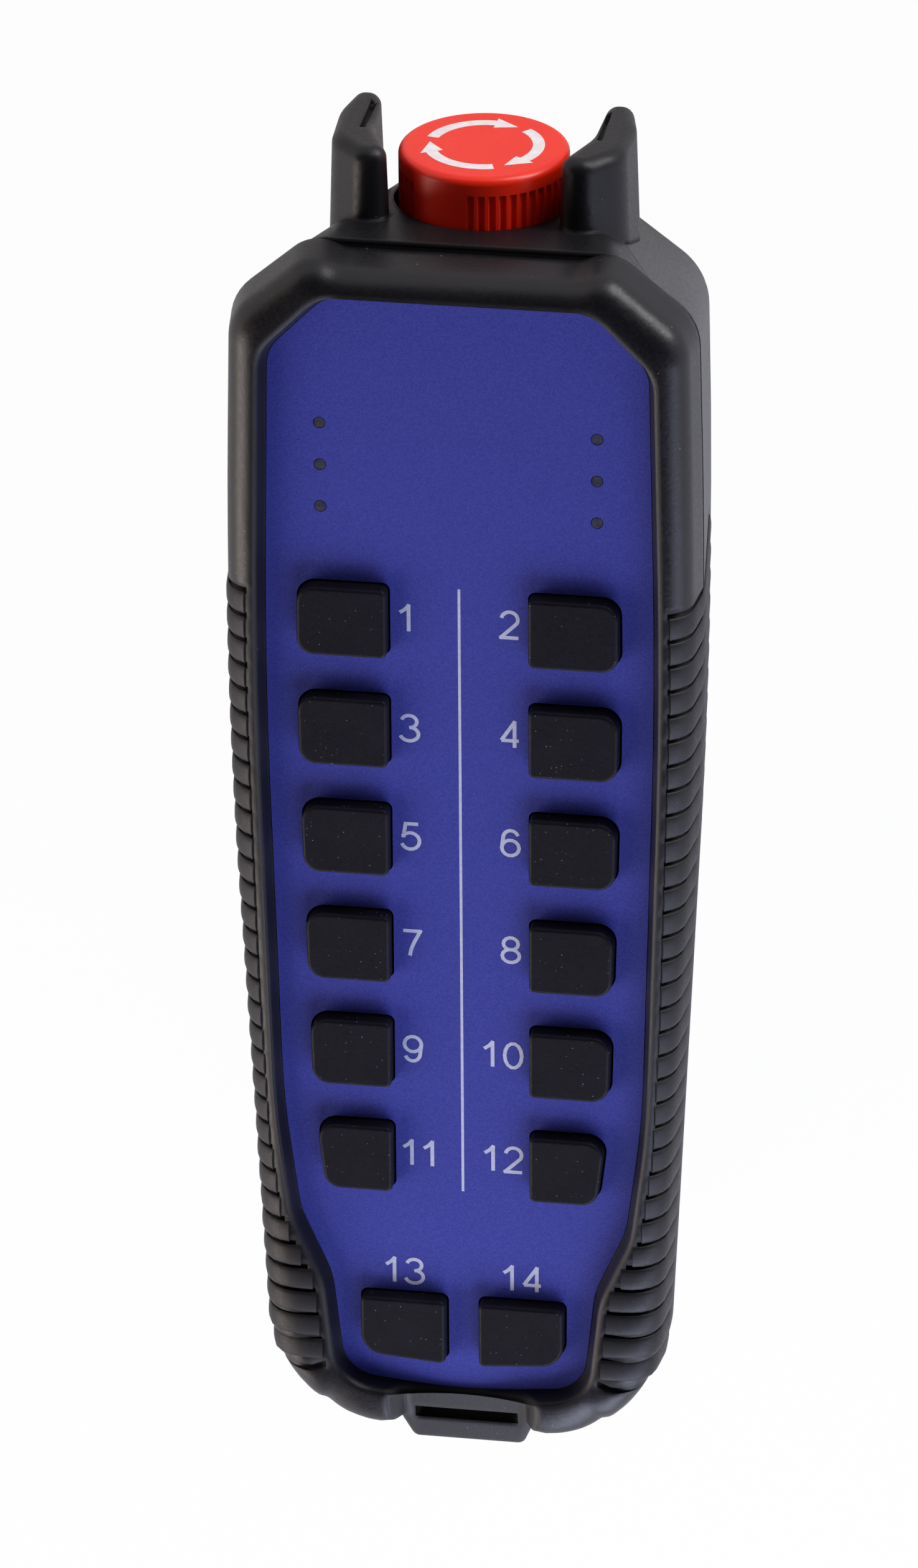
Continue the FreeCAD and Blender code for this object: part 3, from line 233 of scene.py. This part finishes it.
finishes = {
    "front_cover": ("cover_plastic", cover_plastic), "rear_cover": ("cover_plastic", cover_plastic),
    "battery_lid": ("cover_plastic", cover_plastic), "stop_guard": ("guard_plastic", guard_plastic),
    "case_gasket": ("gasket_rubber", gasket_rubber), "battery_lid_seal": ("gasket_rubber", gasket_rubber),
    "stop_gasket": ("gasket_rubber", gasket_rubber), "key_seal": ("key_rubber", key_rubber),
    "panel_film": ("film", film_sheet), "light_guides": ("light_guide", window_plastic),
    "status_leds": ("led_plastic", led_plastic), "circuit_board": ("board", board_resist),
    "key_domes": ("dome_steel", dome_steel), "radio_module": ("shield_steel", shield_tin),
    "case_screws": ("screw_steel", screw_zinc), "battery_lid_screws": ("screw_steel", screw_zinc),
    "board_screws": ("screw_steel", screw_zinc), "battery_contacts": ("contact_steel", contact_nickel),
    "stop_spring": ("spring_steel", spring_wire), "aerial": ("aerial_brass", aerial_brass),
    "battery_cells": ("cell", cell_sleeve), "stop_bush": ("bush_plastic", bush_plastic),
    "stop_nut": ("bush_plastic", bush_plastic), "stop_contact_block": ("block_plastic", block_plastic),
    "stop_shaft": ("shaft_plastic", shaft_plastic), "stop_head": ("stop_red", stop_red),
}
buttons = [f"button_{number}" for number in range(1, 15)]
for button in buttons:
    finishes[button] = ("key_rubber", key_rubber)
for node, (slot, finish) in finishes.items():
    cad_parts[node].data.materials.clear()
    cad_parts[node].data.materials.append(finish)


# Pieces

def piece(name, mesh, body):
    """A finished mesh, in its place, as a piece that rides on a body."""
    item = bpy.data.objects.new(name, mesh)
    bpy.context.scene.collection.objects.link(item)
    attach(item, body)
    return item


def smooth_skin(node, body, crease=30, shift=None):
    """The node's own form with its doubles merged, its points moved by shift and its curved faces shaded smooth."""
    slot, finish = finishes[node]
    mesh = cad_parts[node].data.copy()
    skin = bmesh.new()
    skin.from_mesh(mesh)
    bmesh.ops.remove_doubles(skin, verts=skin.verts, dist=1e-6)
    if shift:
        for vert in skin.verts:
            vert.co += shift(vert.co)
    for face in skin.faces:
        face.smooth = True
    for edge in skin.edges:
        edge.smooth = edge.is_manifold and edge.calc_face_angle() < math.radians(crease)
    skin.to_mesh(mesh)
    skin.free()
    shell = bpy.data.objects.new(node + "_source", mesh)
    bpy.context.scene.collection.objects.link(shell)
    shell.modifiers.new("even", "WEIGHTED_NORMAL").keep_sharp = True
    made = bpy.data.meshes.new_from_object(shell.evaluated_get(bpy.context.evaluated_depsgraph_get()))
    bpy.data.objects.remove(shell)
    made.materials.clear()
    made.materials.append(finish)
    item = piece(node + "_skin", made, body)
    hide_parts(node)
    return item


def grown(name, tree, mesh, sizes):
    """The plain mesh that a tree grows on the given points and paths."""
    base = bpy.data.objects.new(name + "_path", mesh)
    bpy.context.scene.collection.objects.link(base)
    grower = base.modifiers.new(name, "NODES")
    grower.node_group = tree
    for socket in tree.interface.items_tree:
        if socket.name in sizes:
            grower[socket.identifier] = sizes[socket.name]
    made = bpy.data.meshes.new_from_object(base.evaluated_get(bpy.context.evaluated_depsgraph_get()))
    base.modifiers.remove(grower)
    bpy.data.objects.remove(base)
    made.name = name
    return made


def new_tree(name, sizes):
    """An empty tree with one geometry input, named size inputs and a finish."""
    tree = bpy.data.node_groups.new(name, "GeometryNodeTree")
    tree.interface.new_socket("Geometry", in_out="INPUT", socket_type="NodeSocketGeometry")
    for size in sizes:
        tree.interface.new_socket(size, in_out="INPUT", socket_type="NodeSocketFloat")
    tree.interface.new_socket("Finish", in_out="INPUT", socket_type="NodeSocketMaterial")
    tree.interface.new_socket("Geometry", in_out="OUTPUT", socket_type="NodeSocketGeometry")
    return tree, add(tree, "NodeGroupInput").outputs


def close_tree(tree, given, shape):
    """Every tree ends the same way: real geometry with its finish."""
    shape = add(tree, "GeometryNodeRealizeInstances", None, {"Geometry": shape}).outputs[0]
    shape = add(tree, "GeometryNodeSetMaterial", None, {"Geometry": shape, "Material": given["Finish"]}).outputs[0]
    add(tree, "NodeGroupOutput", None, {"Geometry": shape})


def paths_mesh(name, paths):
    """Open or closed paths as a mesh of edges. A path that ends where it starts is closed."""
    points, edges = [], []
    for path in paths:
        first = len(points)
        closed = (Vector(path[0]) - Vector(path[-1])).length < 1e-7
        points += path[:-1] if closed else path
        edges += [(i, i + 1) for i in range(first, len(points) - 1)]
        if closed:
            edges.append((len(points) - 1, first))
    mesh = bpy.data.meshes.new(name)
    mesh.from_pydata(points, edges, [])
    return mesh


def film_half(y):
    """Half of the film's width at y, between the listed corners of its edge."""
    for (y0, half0), (y1, half1) in zip(FILM_EDGE, FILM_EDGE[1:]):
        if y >= y1 * MM:
            return (half0 + (half1 - half0) * (y - y0 * MM) / ((y1 - y0) * MM)) * MM


def ease(value, start, end):
    """From 0 at start to 1 at end, smoothly."""
    share = min(max((value - start) / (end - start), 0.0), 1.0)
    return share * share * (3 - 2 * share)


def fuller_foot(at):
    """How far a point of the front cover moves out, so that its narrow end stands up more steeply."""
    film_end = FILM_EDGE[-1][0] * MM
    outside = max(abs(at.x) - film_half(max(at.y, film_end)), film_end - FILM_CLEAR - at.y)
    rise = min(max((at.z - FRONT_FOOT) / (FRONT_RIM - FRONT_FOOT), 0.0), 1.0)
    share = ease(outside, *FILL_IN) * ease(at.y, *FILL_ALONG) * ease(abs(at.x), *FILL_ASIDE)
    return Vector((0, -FOOT_FILL * rise * share, 0))


skins = {"front_cover": smooth_skin("front_cover", "housing", shift=fuller_foot)}
for node, body in [("rear_cover", "housing"), ("stop_guard", "housing"), ("battery_lid", "housing"),
                   ("stop_bush", "housing"), ("stop_head", "stop_head"), ("stop_shaft", "stop_plunger")]:
    skins[node] = smooth_skin(node, body)
for button in buttons:
    skins[button] = smooth_skin(button, button)

# The return spring between the bush and the head, shaded smooth, with a mesh of its own.
spring = smooth_skin("stop_spring", "housing")
low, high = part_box("stop_spring")
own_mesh(spring)


# Grip ribs: a low crown on every band between two grooves, over the rim and down the side

def outer_skin():
    """Both covers as one surface that rays can find."""
    points, faces = [], []
    for node in ("front_cover", "rear_cover"):
        mesh = skins[node].data
        first = len(points)
        points += [v.co.copy() for v in mesh.vertices]
        faces += [[first + i for i in face.vertices] for face in mesh.polygons]
    return BVHTree.FromPolygons(points, faces)


def rib_path(skin, y, side):
    """Points on the covers from the inner end of a band, over the rim, to its end on the side."""
    hits = []
    edge = skin.ray_cast(Vector((side * RAY_REACH, y, SIDE_Z)), Vector((-side, 0, 0)))[0]
    half = abs(edge.x)
    pivot = Vector((side * (half - RIM_PIVOT_IN), y, RIM_PIVOT_Z))
    start, bend = film_half(y) + RIB_START, half - RIB_BEND_IN
    for share in (0.0, 0.5, 1.0):
        across = min(start, bend) + (bend - min(start, bend)) * share
        hits.append(skin.ray_cast(Vector((side * across, y, RAY_REACH)), Vector((0, 0, -1)))[0])
    for angle in range(65, -1, -13):
        out = Vector((side * math.cos(math.radians(angle)), 0, math.sin(math.radians(angle))))
        hits.append(skin.ray_cast(pivot + out * RIM_RAY, -out)[0])
    steps = 9
    for step in range(1, steps + 1):
        z = RIM_PIVOT_Z + (RIB_END_Z - RIM_PIVOT_Z) * step / steps
        hits.append(skin.ray_cast(Vector((side * RAY_REACH, y, z)), Vector((-side, 0, 0)))[0])
    return [hit for hit in hits if hit]


def rib_tree():
    """A flat oval swept along each path, thinning out at both ends."""
    tree, given = new_tree("grip ribs", ("Width", "Crown"))
    path = add(tree, "GeometryNodeMeshToCurve", None, {"Mesh": given["Geometry"]}).outputs[0]
    path = add(tree, "GeometryNodeResampleCurve", {"Count": 26}, {"Curve": path}).outputs[0]
    along = add(tree, "GeometryNodeSplineParameter").outputs["Factor"]
    near = add(tree, "ShaderNodeMath", {1: 0.5}, {0: along}, operation="SUBTRACT").outputs[0]
    near = add(tree, "ShaderNodeMath", None, {0: near}, operation="ABSOLUTE").outputs[0]
    swell = add(tree, "ShaderNodeMapRange", {"From Min": 0.5, "From Max": 0.36, "To Min": 0.12, "To Max": 1.0},
                {"Value": near}).outputs["Result"]
    path = add(tree, "GeometryNodeSetCurveRadius", None, {"Curve": path, "Radius": swell}).outputs[0]
    oval = add(tree, "GeometryNodeCurvePrimitiveCircle", {"Resolution": 14, "Radius": 1.0}).outputs[0]
    half = add(tree, "ShaderNodeMath", {1: 0.5}, {0: given["Width"]}, operation="MULTIPLY").outputs[0]
    size = add(tree, "ShaderNodeCombineXYZ", {"Z": 1.0}, {"X": half, "Y": given["Crown"]}).outputs[0]
    oval = add(tree, "GeometryNodeTransform", None, {"Geometry": oval, "Scale": size}).outputs[0]
    shape = add(tree, "GeometryNodeCurveToMesh", {"Fill Caps": True}, {"Curve": path, "Profile Curve": oval}).outputs[0]
    shape = add(tree, "GeometryNodeSetShadeSmooth", None, {"Geometry": shape}).outputs[0]
    close_tree(tree, given, shape)
    return tree


cover_surface = outer_skin()
rib_paths = []
for band in range(GROOVES - 1):
    y = FIRST_GROOVE - (band + 0.5) * GROOVE_PITCH
    for side in (-1, 1):
        rib_paths.append(rib_path(cover_surface, y, side))
ribs = grown("grip_ribs", rib_tree(), paths_mesh("rib_paths", rib_paths),
             {"Width": RIB_WIDTH, "Crown": RIB_CROWN, "Finish": grip_plastic})
piece("grip_ribs", ribs, "housing")


# Numbers and centre line on the film

def bow(x, y, across, up, start, end):
    """Points of an arc, from one angle to another, in degrees."""
    steps = 14
    angles = [math.radians(start + (end - start) * i / steps) for i in range(steps + 1)]
    return [(x + across * math.cos(a), y + up * math.sin(a)) for a in angles]


def ring(x, y, across, up):
    """A closed oval."""
    points = bow(x, y, across, up, 0, 360)
    return points[:-1] + points[:1]


hook = [bow(0.52, 0.7, 0.44, 0.3, 20, 180) + [(0.0, 0.31)], ring(0.5, 0.31, 0.5, 0.31)]
DIGITS = {
    "0": [ring(0.5, 0.5, 0.5, 0.5)],
    "1": [[(0.0, 0.72), (0.55, 0.84), (1.0, 1.0), (1.0, 0.0)]],
    "2": [bow(0.5, 0.71, 0.47, 0.29, 170, -32) + [(0.0, 0.0), (1.0, 0.0)]],
    "3": [bow(0.47, 0.76, 0.44, 0.24, 165, -90), bow(0.47, 0.27, 0.53, 0.27, 78, -165)],
    "4": [[(0.76, 0.0), (0.76, 1.0), (0.0, 0.27)], [(0.0, 0.27), (1.0, 0.27)]],
    "5": [[(0.93, 1.0), (0.2, 1.0), (0.08, 0.5)] + bow(0.47, 0.32, 0.53, 0.33, 140, -160)],
    "6": hook,
    "7": [[(0.0, 1.0), (1.0, 1.0), (0.66, 0.58), (0.46, 0.26), (0.38, 0.0)]],
    "8": [ring(0.5, 0.755, 0.43, 0.245), ring(0.5, 0.265, 0.5, 0.265)],
    "9": [[(1 - x, 1 - y) for x, y in stroke] for stroke in hook],
}


def full_width_runs(stroke):
    """A stroke parted at its sharp corners, where each run goes on a little to close the corner."""
    points = [Vector(point) for point in stroke]
    runs = [points[:1]]
    for before, here, after in zip(points, points[1:], points[2:]):
        runs[-1].append(here)
        if (here - before).angle(after - here) > math.radians(CORNER_TURN):
            runs[-1][-1] = here + (here - before).normalized() * CORNER_REACH
            runs.append([here - (after - here).normalized() * CORNER_REACH])
    runs[-1].append(points[-1])
    return runs


def number_paths(text, x, y, from_right):
    """The strokes of a number whose outer end is at x and whose middle height is at y."""
    widths = [ONE_WIDTH if mark == "1" else DIGIT_WIDTH for mark in text]
    left = x - widths[-1] - DIGIT_STEP * (len(text) - 1) if from_right else x
    paths = []
    for mark, width in zip(text, widths):
        strokes = [[(left + NUMBER_STROKE / 2 + u * (width - NUMBER_STROKE),
                     y + (v - 0.5) * (NUMBER_HEIGHT - NUMBER_STROKE)) for u, v in stroke] for stroke in DIGITS[mark]]
        runs = [run for stroke in strokes for run in full_width_runs(stroke)]
        paths += [[(at.x, at.y, FILM_FACE + layer * STROKE_LIFT) for at in run] for layer, run in enumerate(runs)]
        left += DIGIT_STEP
    return paths


def ink_tree():
    """A thin flat ribbon of ink along each stroke."""
    tree, given = new_tree("printed strokes", ("Stroke", "Thick"))
    path = add(tree, "GeometryNodeMeshToCurve", None, {"Mesh": given["Geometry"]}).outputs[0]
    flat = add(tree, "GeometryNodeCurvePrimitiveQuadrilateral", None,
               {"Width": given["Stroke"], "Height": given["Thick"]}).outputs[0]
    shape = add(tree, "GeometryNodeCurveToMesh", {"Fill Caps": True}, {"Curve": path, "Profile Curve": flat}).outputs[0]
    shape = add(tree, "GeometryNodeSetShadeSmooth", {"Shade Smooth": False}, {"Geometry": shape}).outputs[0]
    close_tree(tree, given, shape)
    return tree


numbers = []
for number in range(1, 13):
    low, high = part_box(f"button_{number}")
    row = (low.y + high.y) / 2 + ROW_LIFT
    right = number % 2 == 0
    end = NUMBER_END if number < 10 else LONG_NUMBER_END
    numbers += number_paths(str(number), end if right else -end, row, right)
numbers += number_paths("13", FOOT_NUMBER_ENDS[0], FOOT_NUMBER_Y, False)
numbers += number_paths("14", FOOT_NUMBER_ENDS[1], FOOT_NUMBER_Y, True)
ink = ink_tree()
piece("key_numbers", grown("key_numbers", ink, paths_mesh("strokes", numbers),
                           {"Stroke": NUMBER_STROKE, "Thick": PRINT_THICK, "Finish": pale_ink}), "housing")
middle = [[(0, end, FILM_FACE) for end in LINE_ENDS]]
piece("centre_line", grown("centre_line", ink, paths_mesh("middle", middle),
                           {"Stroke": LINE_WIDTH, "Thick": PRINT_THICK, "Finish": pale_ink}), "housing")


# Twist arrows on the stop button

def twist_arrows():
    """Three flat arrows that chase each other clockwise round the head."""
    sheet = bmesh.new()
    middle = (ARROW_OUTER + ARROW_INNER) / 2
    for turn in range(3):
        tail = ARROW_TAIL - 120 * turn
        rows = []
        steps = 20
        for step in range(steps + 1):
            a = math.radians(tail - ARROW_SHAFT * step / steps)
            rows.append([(ARROW_INNER, a), (ARROW_OUTER, a)])
        neck, tip = math.radians(tail - ARROW_SHAFT), math.radians(tail - ARROW_LENGTH)
        corners = [(middle - ARROW_HEAD_WIDTH / 2, neck), (middle + ARROW_HEAD_WIDTH / 2, neck), (middle, tip)]
        places = [[sheet.verts.new((r * math.cos(a), HEAD_TOP, STOP_AXIS - r * math.sin(a))) for r, a in row]
                  for row in rows + [corners]]
        for near, far in zip(places[:-2], places[1:-1]):
            sheet.faces.new((near[0], near[1], far[1], far[0]))
        inner, outer, point = places[-1]
        sheet.faces.new((inner, places[-2][0], places[-2][1], outer, point))
    bmesh.ops.recalc_face_normals(sheet, faces=sheet.faces)
    for face in sheet.faces:
        face.normal_update()
        if face.normal.y < 0:
            face.normal_flip()
    solid = bmesh.ops.extrude_face_region(sheet, geom=sheet.faces[:])
    risen = [part for part in solid["geom"] if isinstance(part, bmesh.types.BMVert)]
    bmesh.ops.translate(sheet, verts=risen, vec=(0, PRINT_THICK, 0))
    bmesh.ops.recalc_face_normals(sheet, faces=sheet.faces)
    mesh = bpy.data.meshes.new("twist_arrows")
    sheet.to_mesh(mesh)
    sheet.free()
    mesh.materials.append(white_ink)
    return mesh


piece("twist_arrows", twist_arrows(), "stop_head")


# Screws of the battery lid, with a cross recess

def screw_tree():
    """A cheese head with a cross recess and its shank, set on every point."""
    tree, given = new_tree("lid screws", ("Head Radius", "Head Height", "Shank Radius", "Shank Length", "Slot"))
    head = add(tree, "GeometryNodeMeshCylinder", {"Vertices": 40},
               {"Radius": given["Head Radius"], "Depth": given["Head Height"]}).outputs["Mesh"]
    long = add(tree, "ShaderNodeMath", {1: 1.25}, {0: given["Head Radius"]}, operation="MULTIPLY").outputs[0]
    deep = add(tree, "ShaderNodeMath", {1: 1.2}, {0: given["Head Height"]}, operation="MULTIPLY").outputs[0]
    low = add(tree, "ShaderNodeMath", {1: -0.5}, {0: given["Head Height"]}, operation="MULTIPLY").outputs[0]
    at = add(tree, "ShaderNodeCombineXYZ", None, {"Z": low}).outputs[0]
    bars = []
    for across, along in ((long, given["Slot"]), (given["Slot"], long)):
        size = add(tree, "ShaderNodeCombineXYZ", None, {"X": across, "Y": along, "Z": deep}).outputs[0]
        bar = add(tree, "GeometryNodeMeshCube", None, {"Size": size}).outputs["Mesh"]
        bars.append(add(tree, "GeometryNodeTransform", None, {"Geometry": bar, "Translation": at}).outputs[0])
    cut = add(tree, "GeometryNodeMeshBoolean", None, {0: head}, operation="DIFFERENCE")
    for bar in bars:
        tree.links.new(bar, cut.inputs[1])
    shank = add(tree, "GeometryNodeMeshCylinder", {"Vertices": 24},
                {"Radius": given["Shank Radius"], "Depth": given["Shank Length"]}).outputs["Mesh"]
    both = add(tree, "ShaderNodeMath", None, {0: given["Head Height"], 1: given["Shank Length"]}).outputs[0]
    up = add(tree, "ShaderNodeMath", {1: 0.5}, {0: both}, operation="MULTIPLY").outputs[0]
    lift = add(tree, "ShaderNodeCombineXYZ", None, {"Z": up}).outputs[0]
    shank = add(tree, "GeometryNodeTransform", None, {"Geometry": shank, "Translation": lift}).outputs[0]
    screw = add(tree, "GeometryNodeJoinGeometry", None, {0: shank})
    tree.links.new(cut.outputs[0], screw.inputs[0])
    placed = add(tree, "GeometryNodeInstanceOnPoints", None,
                 {"Points": given["Geometry"], "Instance": screw.outputs[0]}).outputs[0]
    close_tree(tree, given, placed)
    return tree


low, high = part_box("battery_lid_screws")
head_radius = (high.x - low.x) / 2
places = bpy.data.meshes.new("screw_places")
places.from_pydata([(0, end, low.z + SCREW_HEAD / 2) for end in (low.y + head_radius, high.y - head_radius)], [], [])
lid_screws = piece("lid_screws", grown("lid_screws", screw_tree(), places, {
    "Head Radius": head_radius, "Head Height": SCREW_HEAD, "Shank Radius": SCREW_SHANK,
    "Shank Length": high.z - low.z - SCREW_HEAD, "Slot": SCREW_SLOT, "Finish": screw_zinc}), "housing")
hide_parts("battery_lid_screws")


# Floor, light and camera

floor_mesh = bpy.data.meshes.new("floor")
floor_mesh.from_pydata([(-6, -6, 0), (6, -6, 0), (6, 6, 0), (-6, 6, 0)], [], [(0, 1, 2, 3)])
floor = bpy.data.objects.new("floor", floor_mesh)
floor.location.z = -FLOOR_GAP
bpy.context.scene.collection.objects.link(floor)
paper = bpy.data.materials.new("Matt white paper sweep")
paper.use_nodes = True
tree = paper.node_tree
tree.nodes.clear()
fibre = add(tree, "ShaderNodeTexNoise", {"Scale": 40.0})
shade = add(tree, "ShaderNodeMix", {6: linear("#F4F4F4"), 7: linear("#FCFCFC")}, {0: fibre.outputs["Fac"]},
            data_type="RGBA").outputs[2]
matt = add(tree, "ShaderNodeBsdfDiffuse", None, {"Color": shade})
glow = add(tree, "ShaderNodeEmission", {"Strength": 1.0})
sight = add(tree, "ShaderNodeLightPath").outputs["Is Camera Ray"]
most = add(tree, "ShaderNodeMapRange", {"To Min": 0.32, "To Max": 0.97}, {"Value": sight}).outputs["Result"]
both = add(tree, "ShaderNodeMixShader", None, {0: most, 1: matt.outputs[0], 2: glow.outputs[0]})
add(tree, "ShaderNodeOutputMaterial", None, {"Surface": both.outputs[0]})
floor_mesh.materials.append(paper)

world = bpy.data.worlds.new("white studio")
world.use_nodes = True
tree = world.node_tree
tree.nodes.clear()
towards = add(tree, "ShaderNodeSeparateXYZ", None, {"Vector": add(tree, "ShaderNodeTexCoord").outputs["Generated"]})
walls = add(tree, "ShaderNodeMapRange", {"From Min": 0.24, "From Max": 0.44, "To Min": 1.1, "To Max": 0.03},
            {"Value": towards.outputs["Z"]}, interpolation_type="SMOOTHSTEP")
sides = add(tree, "ShaderNodeMapRange", {"From Min": -0.8, "From Max": 0.8}, {"Value": towards.outputs["X"]})
tint = add(tree, "ShaderNodeMix", {6: linear("#FFF2EA"), 7: linear("#E2E7FF")}, {0: sides.outputs["Result"]},
           data_type="RGBA").outputs[2]
lean = add(tree, "ShaderNodeMapRange", {"From Min": -0.8, "From Max": 0.8, "To Min": 1.2, "To Max": 0.65},
           {"Value": towards.outputs["X"]})
level = add(tree, "ShaderNodeMath", None, {0: walls.outputs["Result"], 1: lean.outputs["Result"]}, operation="MULTIPLY")
sky = add(tree, "ShaderNodeBackground", None, {"Strength": level.outputs["Value"], "Color": tint})
add(tree, "ShaderNodeOutputWorld", None, {"Surface": sky.outputs[0]})
bpy.context.scene.world = world


def softbox(name, place, aim, width, height, power, colour):
    """A soft rectangular lamp."""
    lamp = bpy.data.lights.new(name, "AREA")
    lamp.shape = "RECTANGLE"
    lamp.size, lamp.size_y, lamp.energy = width, height, power
    lamp.color = linear(colour)[:3]
    item = bpy.data.objects.new(name, lamp)
    item.location = place
    item.rotation_euler = (Vector(aim) - Vector(place)).to_track_quat("-Z", "Y").to_euler()
    bpy.context.scene.collection.objects.link(item)


softbox("lamp_foot", (0.24, -0.72, 0.42), (0, -0.03, 0.05), 0.6, 0.4, 4.7, "#DEE4FF")
softbox("lamp_right", (0.62, -0.42, 0.36), (0, 0, 0.05), 0.5, 0.4, 1.9, "#E2E7FF")
softbox("lamp_left", (-0.75, -0.5, 0.46), (0, 0, 0.05), 0.8, 0.5, 6.0, "#FFF2EA")
softbox("lamp_end", (0.5, 0.65, 0.08), (0, 0.1, 0.03), 0.6, 0.12, 4.6, "#F4F0EE")


def photo_camera():
    """The camera of the photograph: two tilts and a roll about the key panel's middle."""
    turn_x, turn_y, roll = math.radians(7.97), math.radians(28.18), math.radians(-0.4)
    back = Vector((math.sin(turn_x), math.sin(turn_y) * math.cos(turn_x), math.cos(turn_y) * math.cos(turn_x)))
    up = (Vector((0, 1, 0)) - back * back.y).normalized()
    right = up.cross(back)
    c, s = math.cos(roll), math.sin(roll)
    right, up = c * right + s * up, c * up - s * right
    lens = bpy.data.cameras.new("photo_camera")
    lens.lens, lens.sensor_width = 200.0, 36.0
    item = bpy.data.objects.new("photo_camera", lens)
    place = (right * -0.21 + up * 3.78 + back * 1324.0 + Vector((0, 7, 53))) * MM
    turn = Matrix((right, up, back)).transposed().to_4x4()
    item.matrix_world = Matrix.Translation(place) @ turn
    bpy.context.scene.collection.objects.link(item)
    return item


bpy.context.scene.camera = photo_camera()
bpy.context.scene.view_settings.view_transform = "Standard"
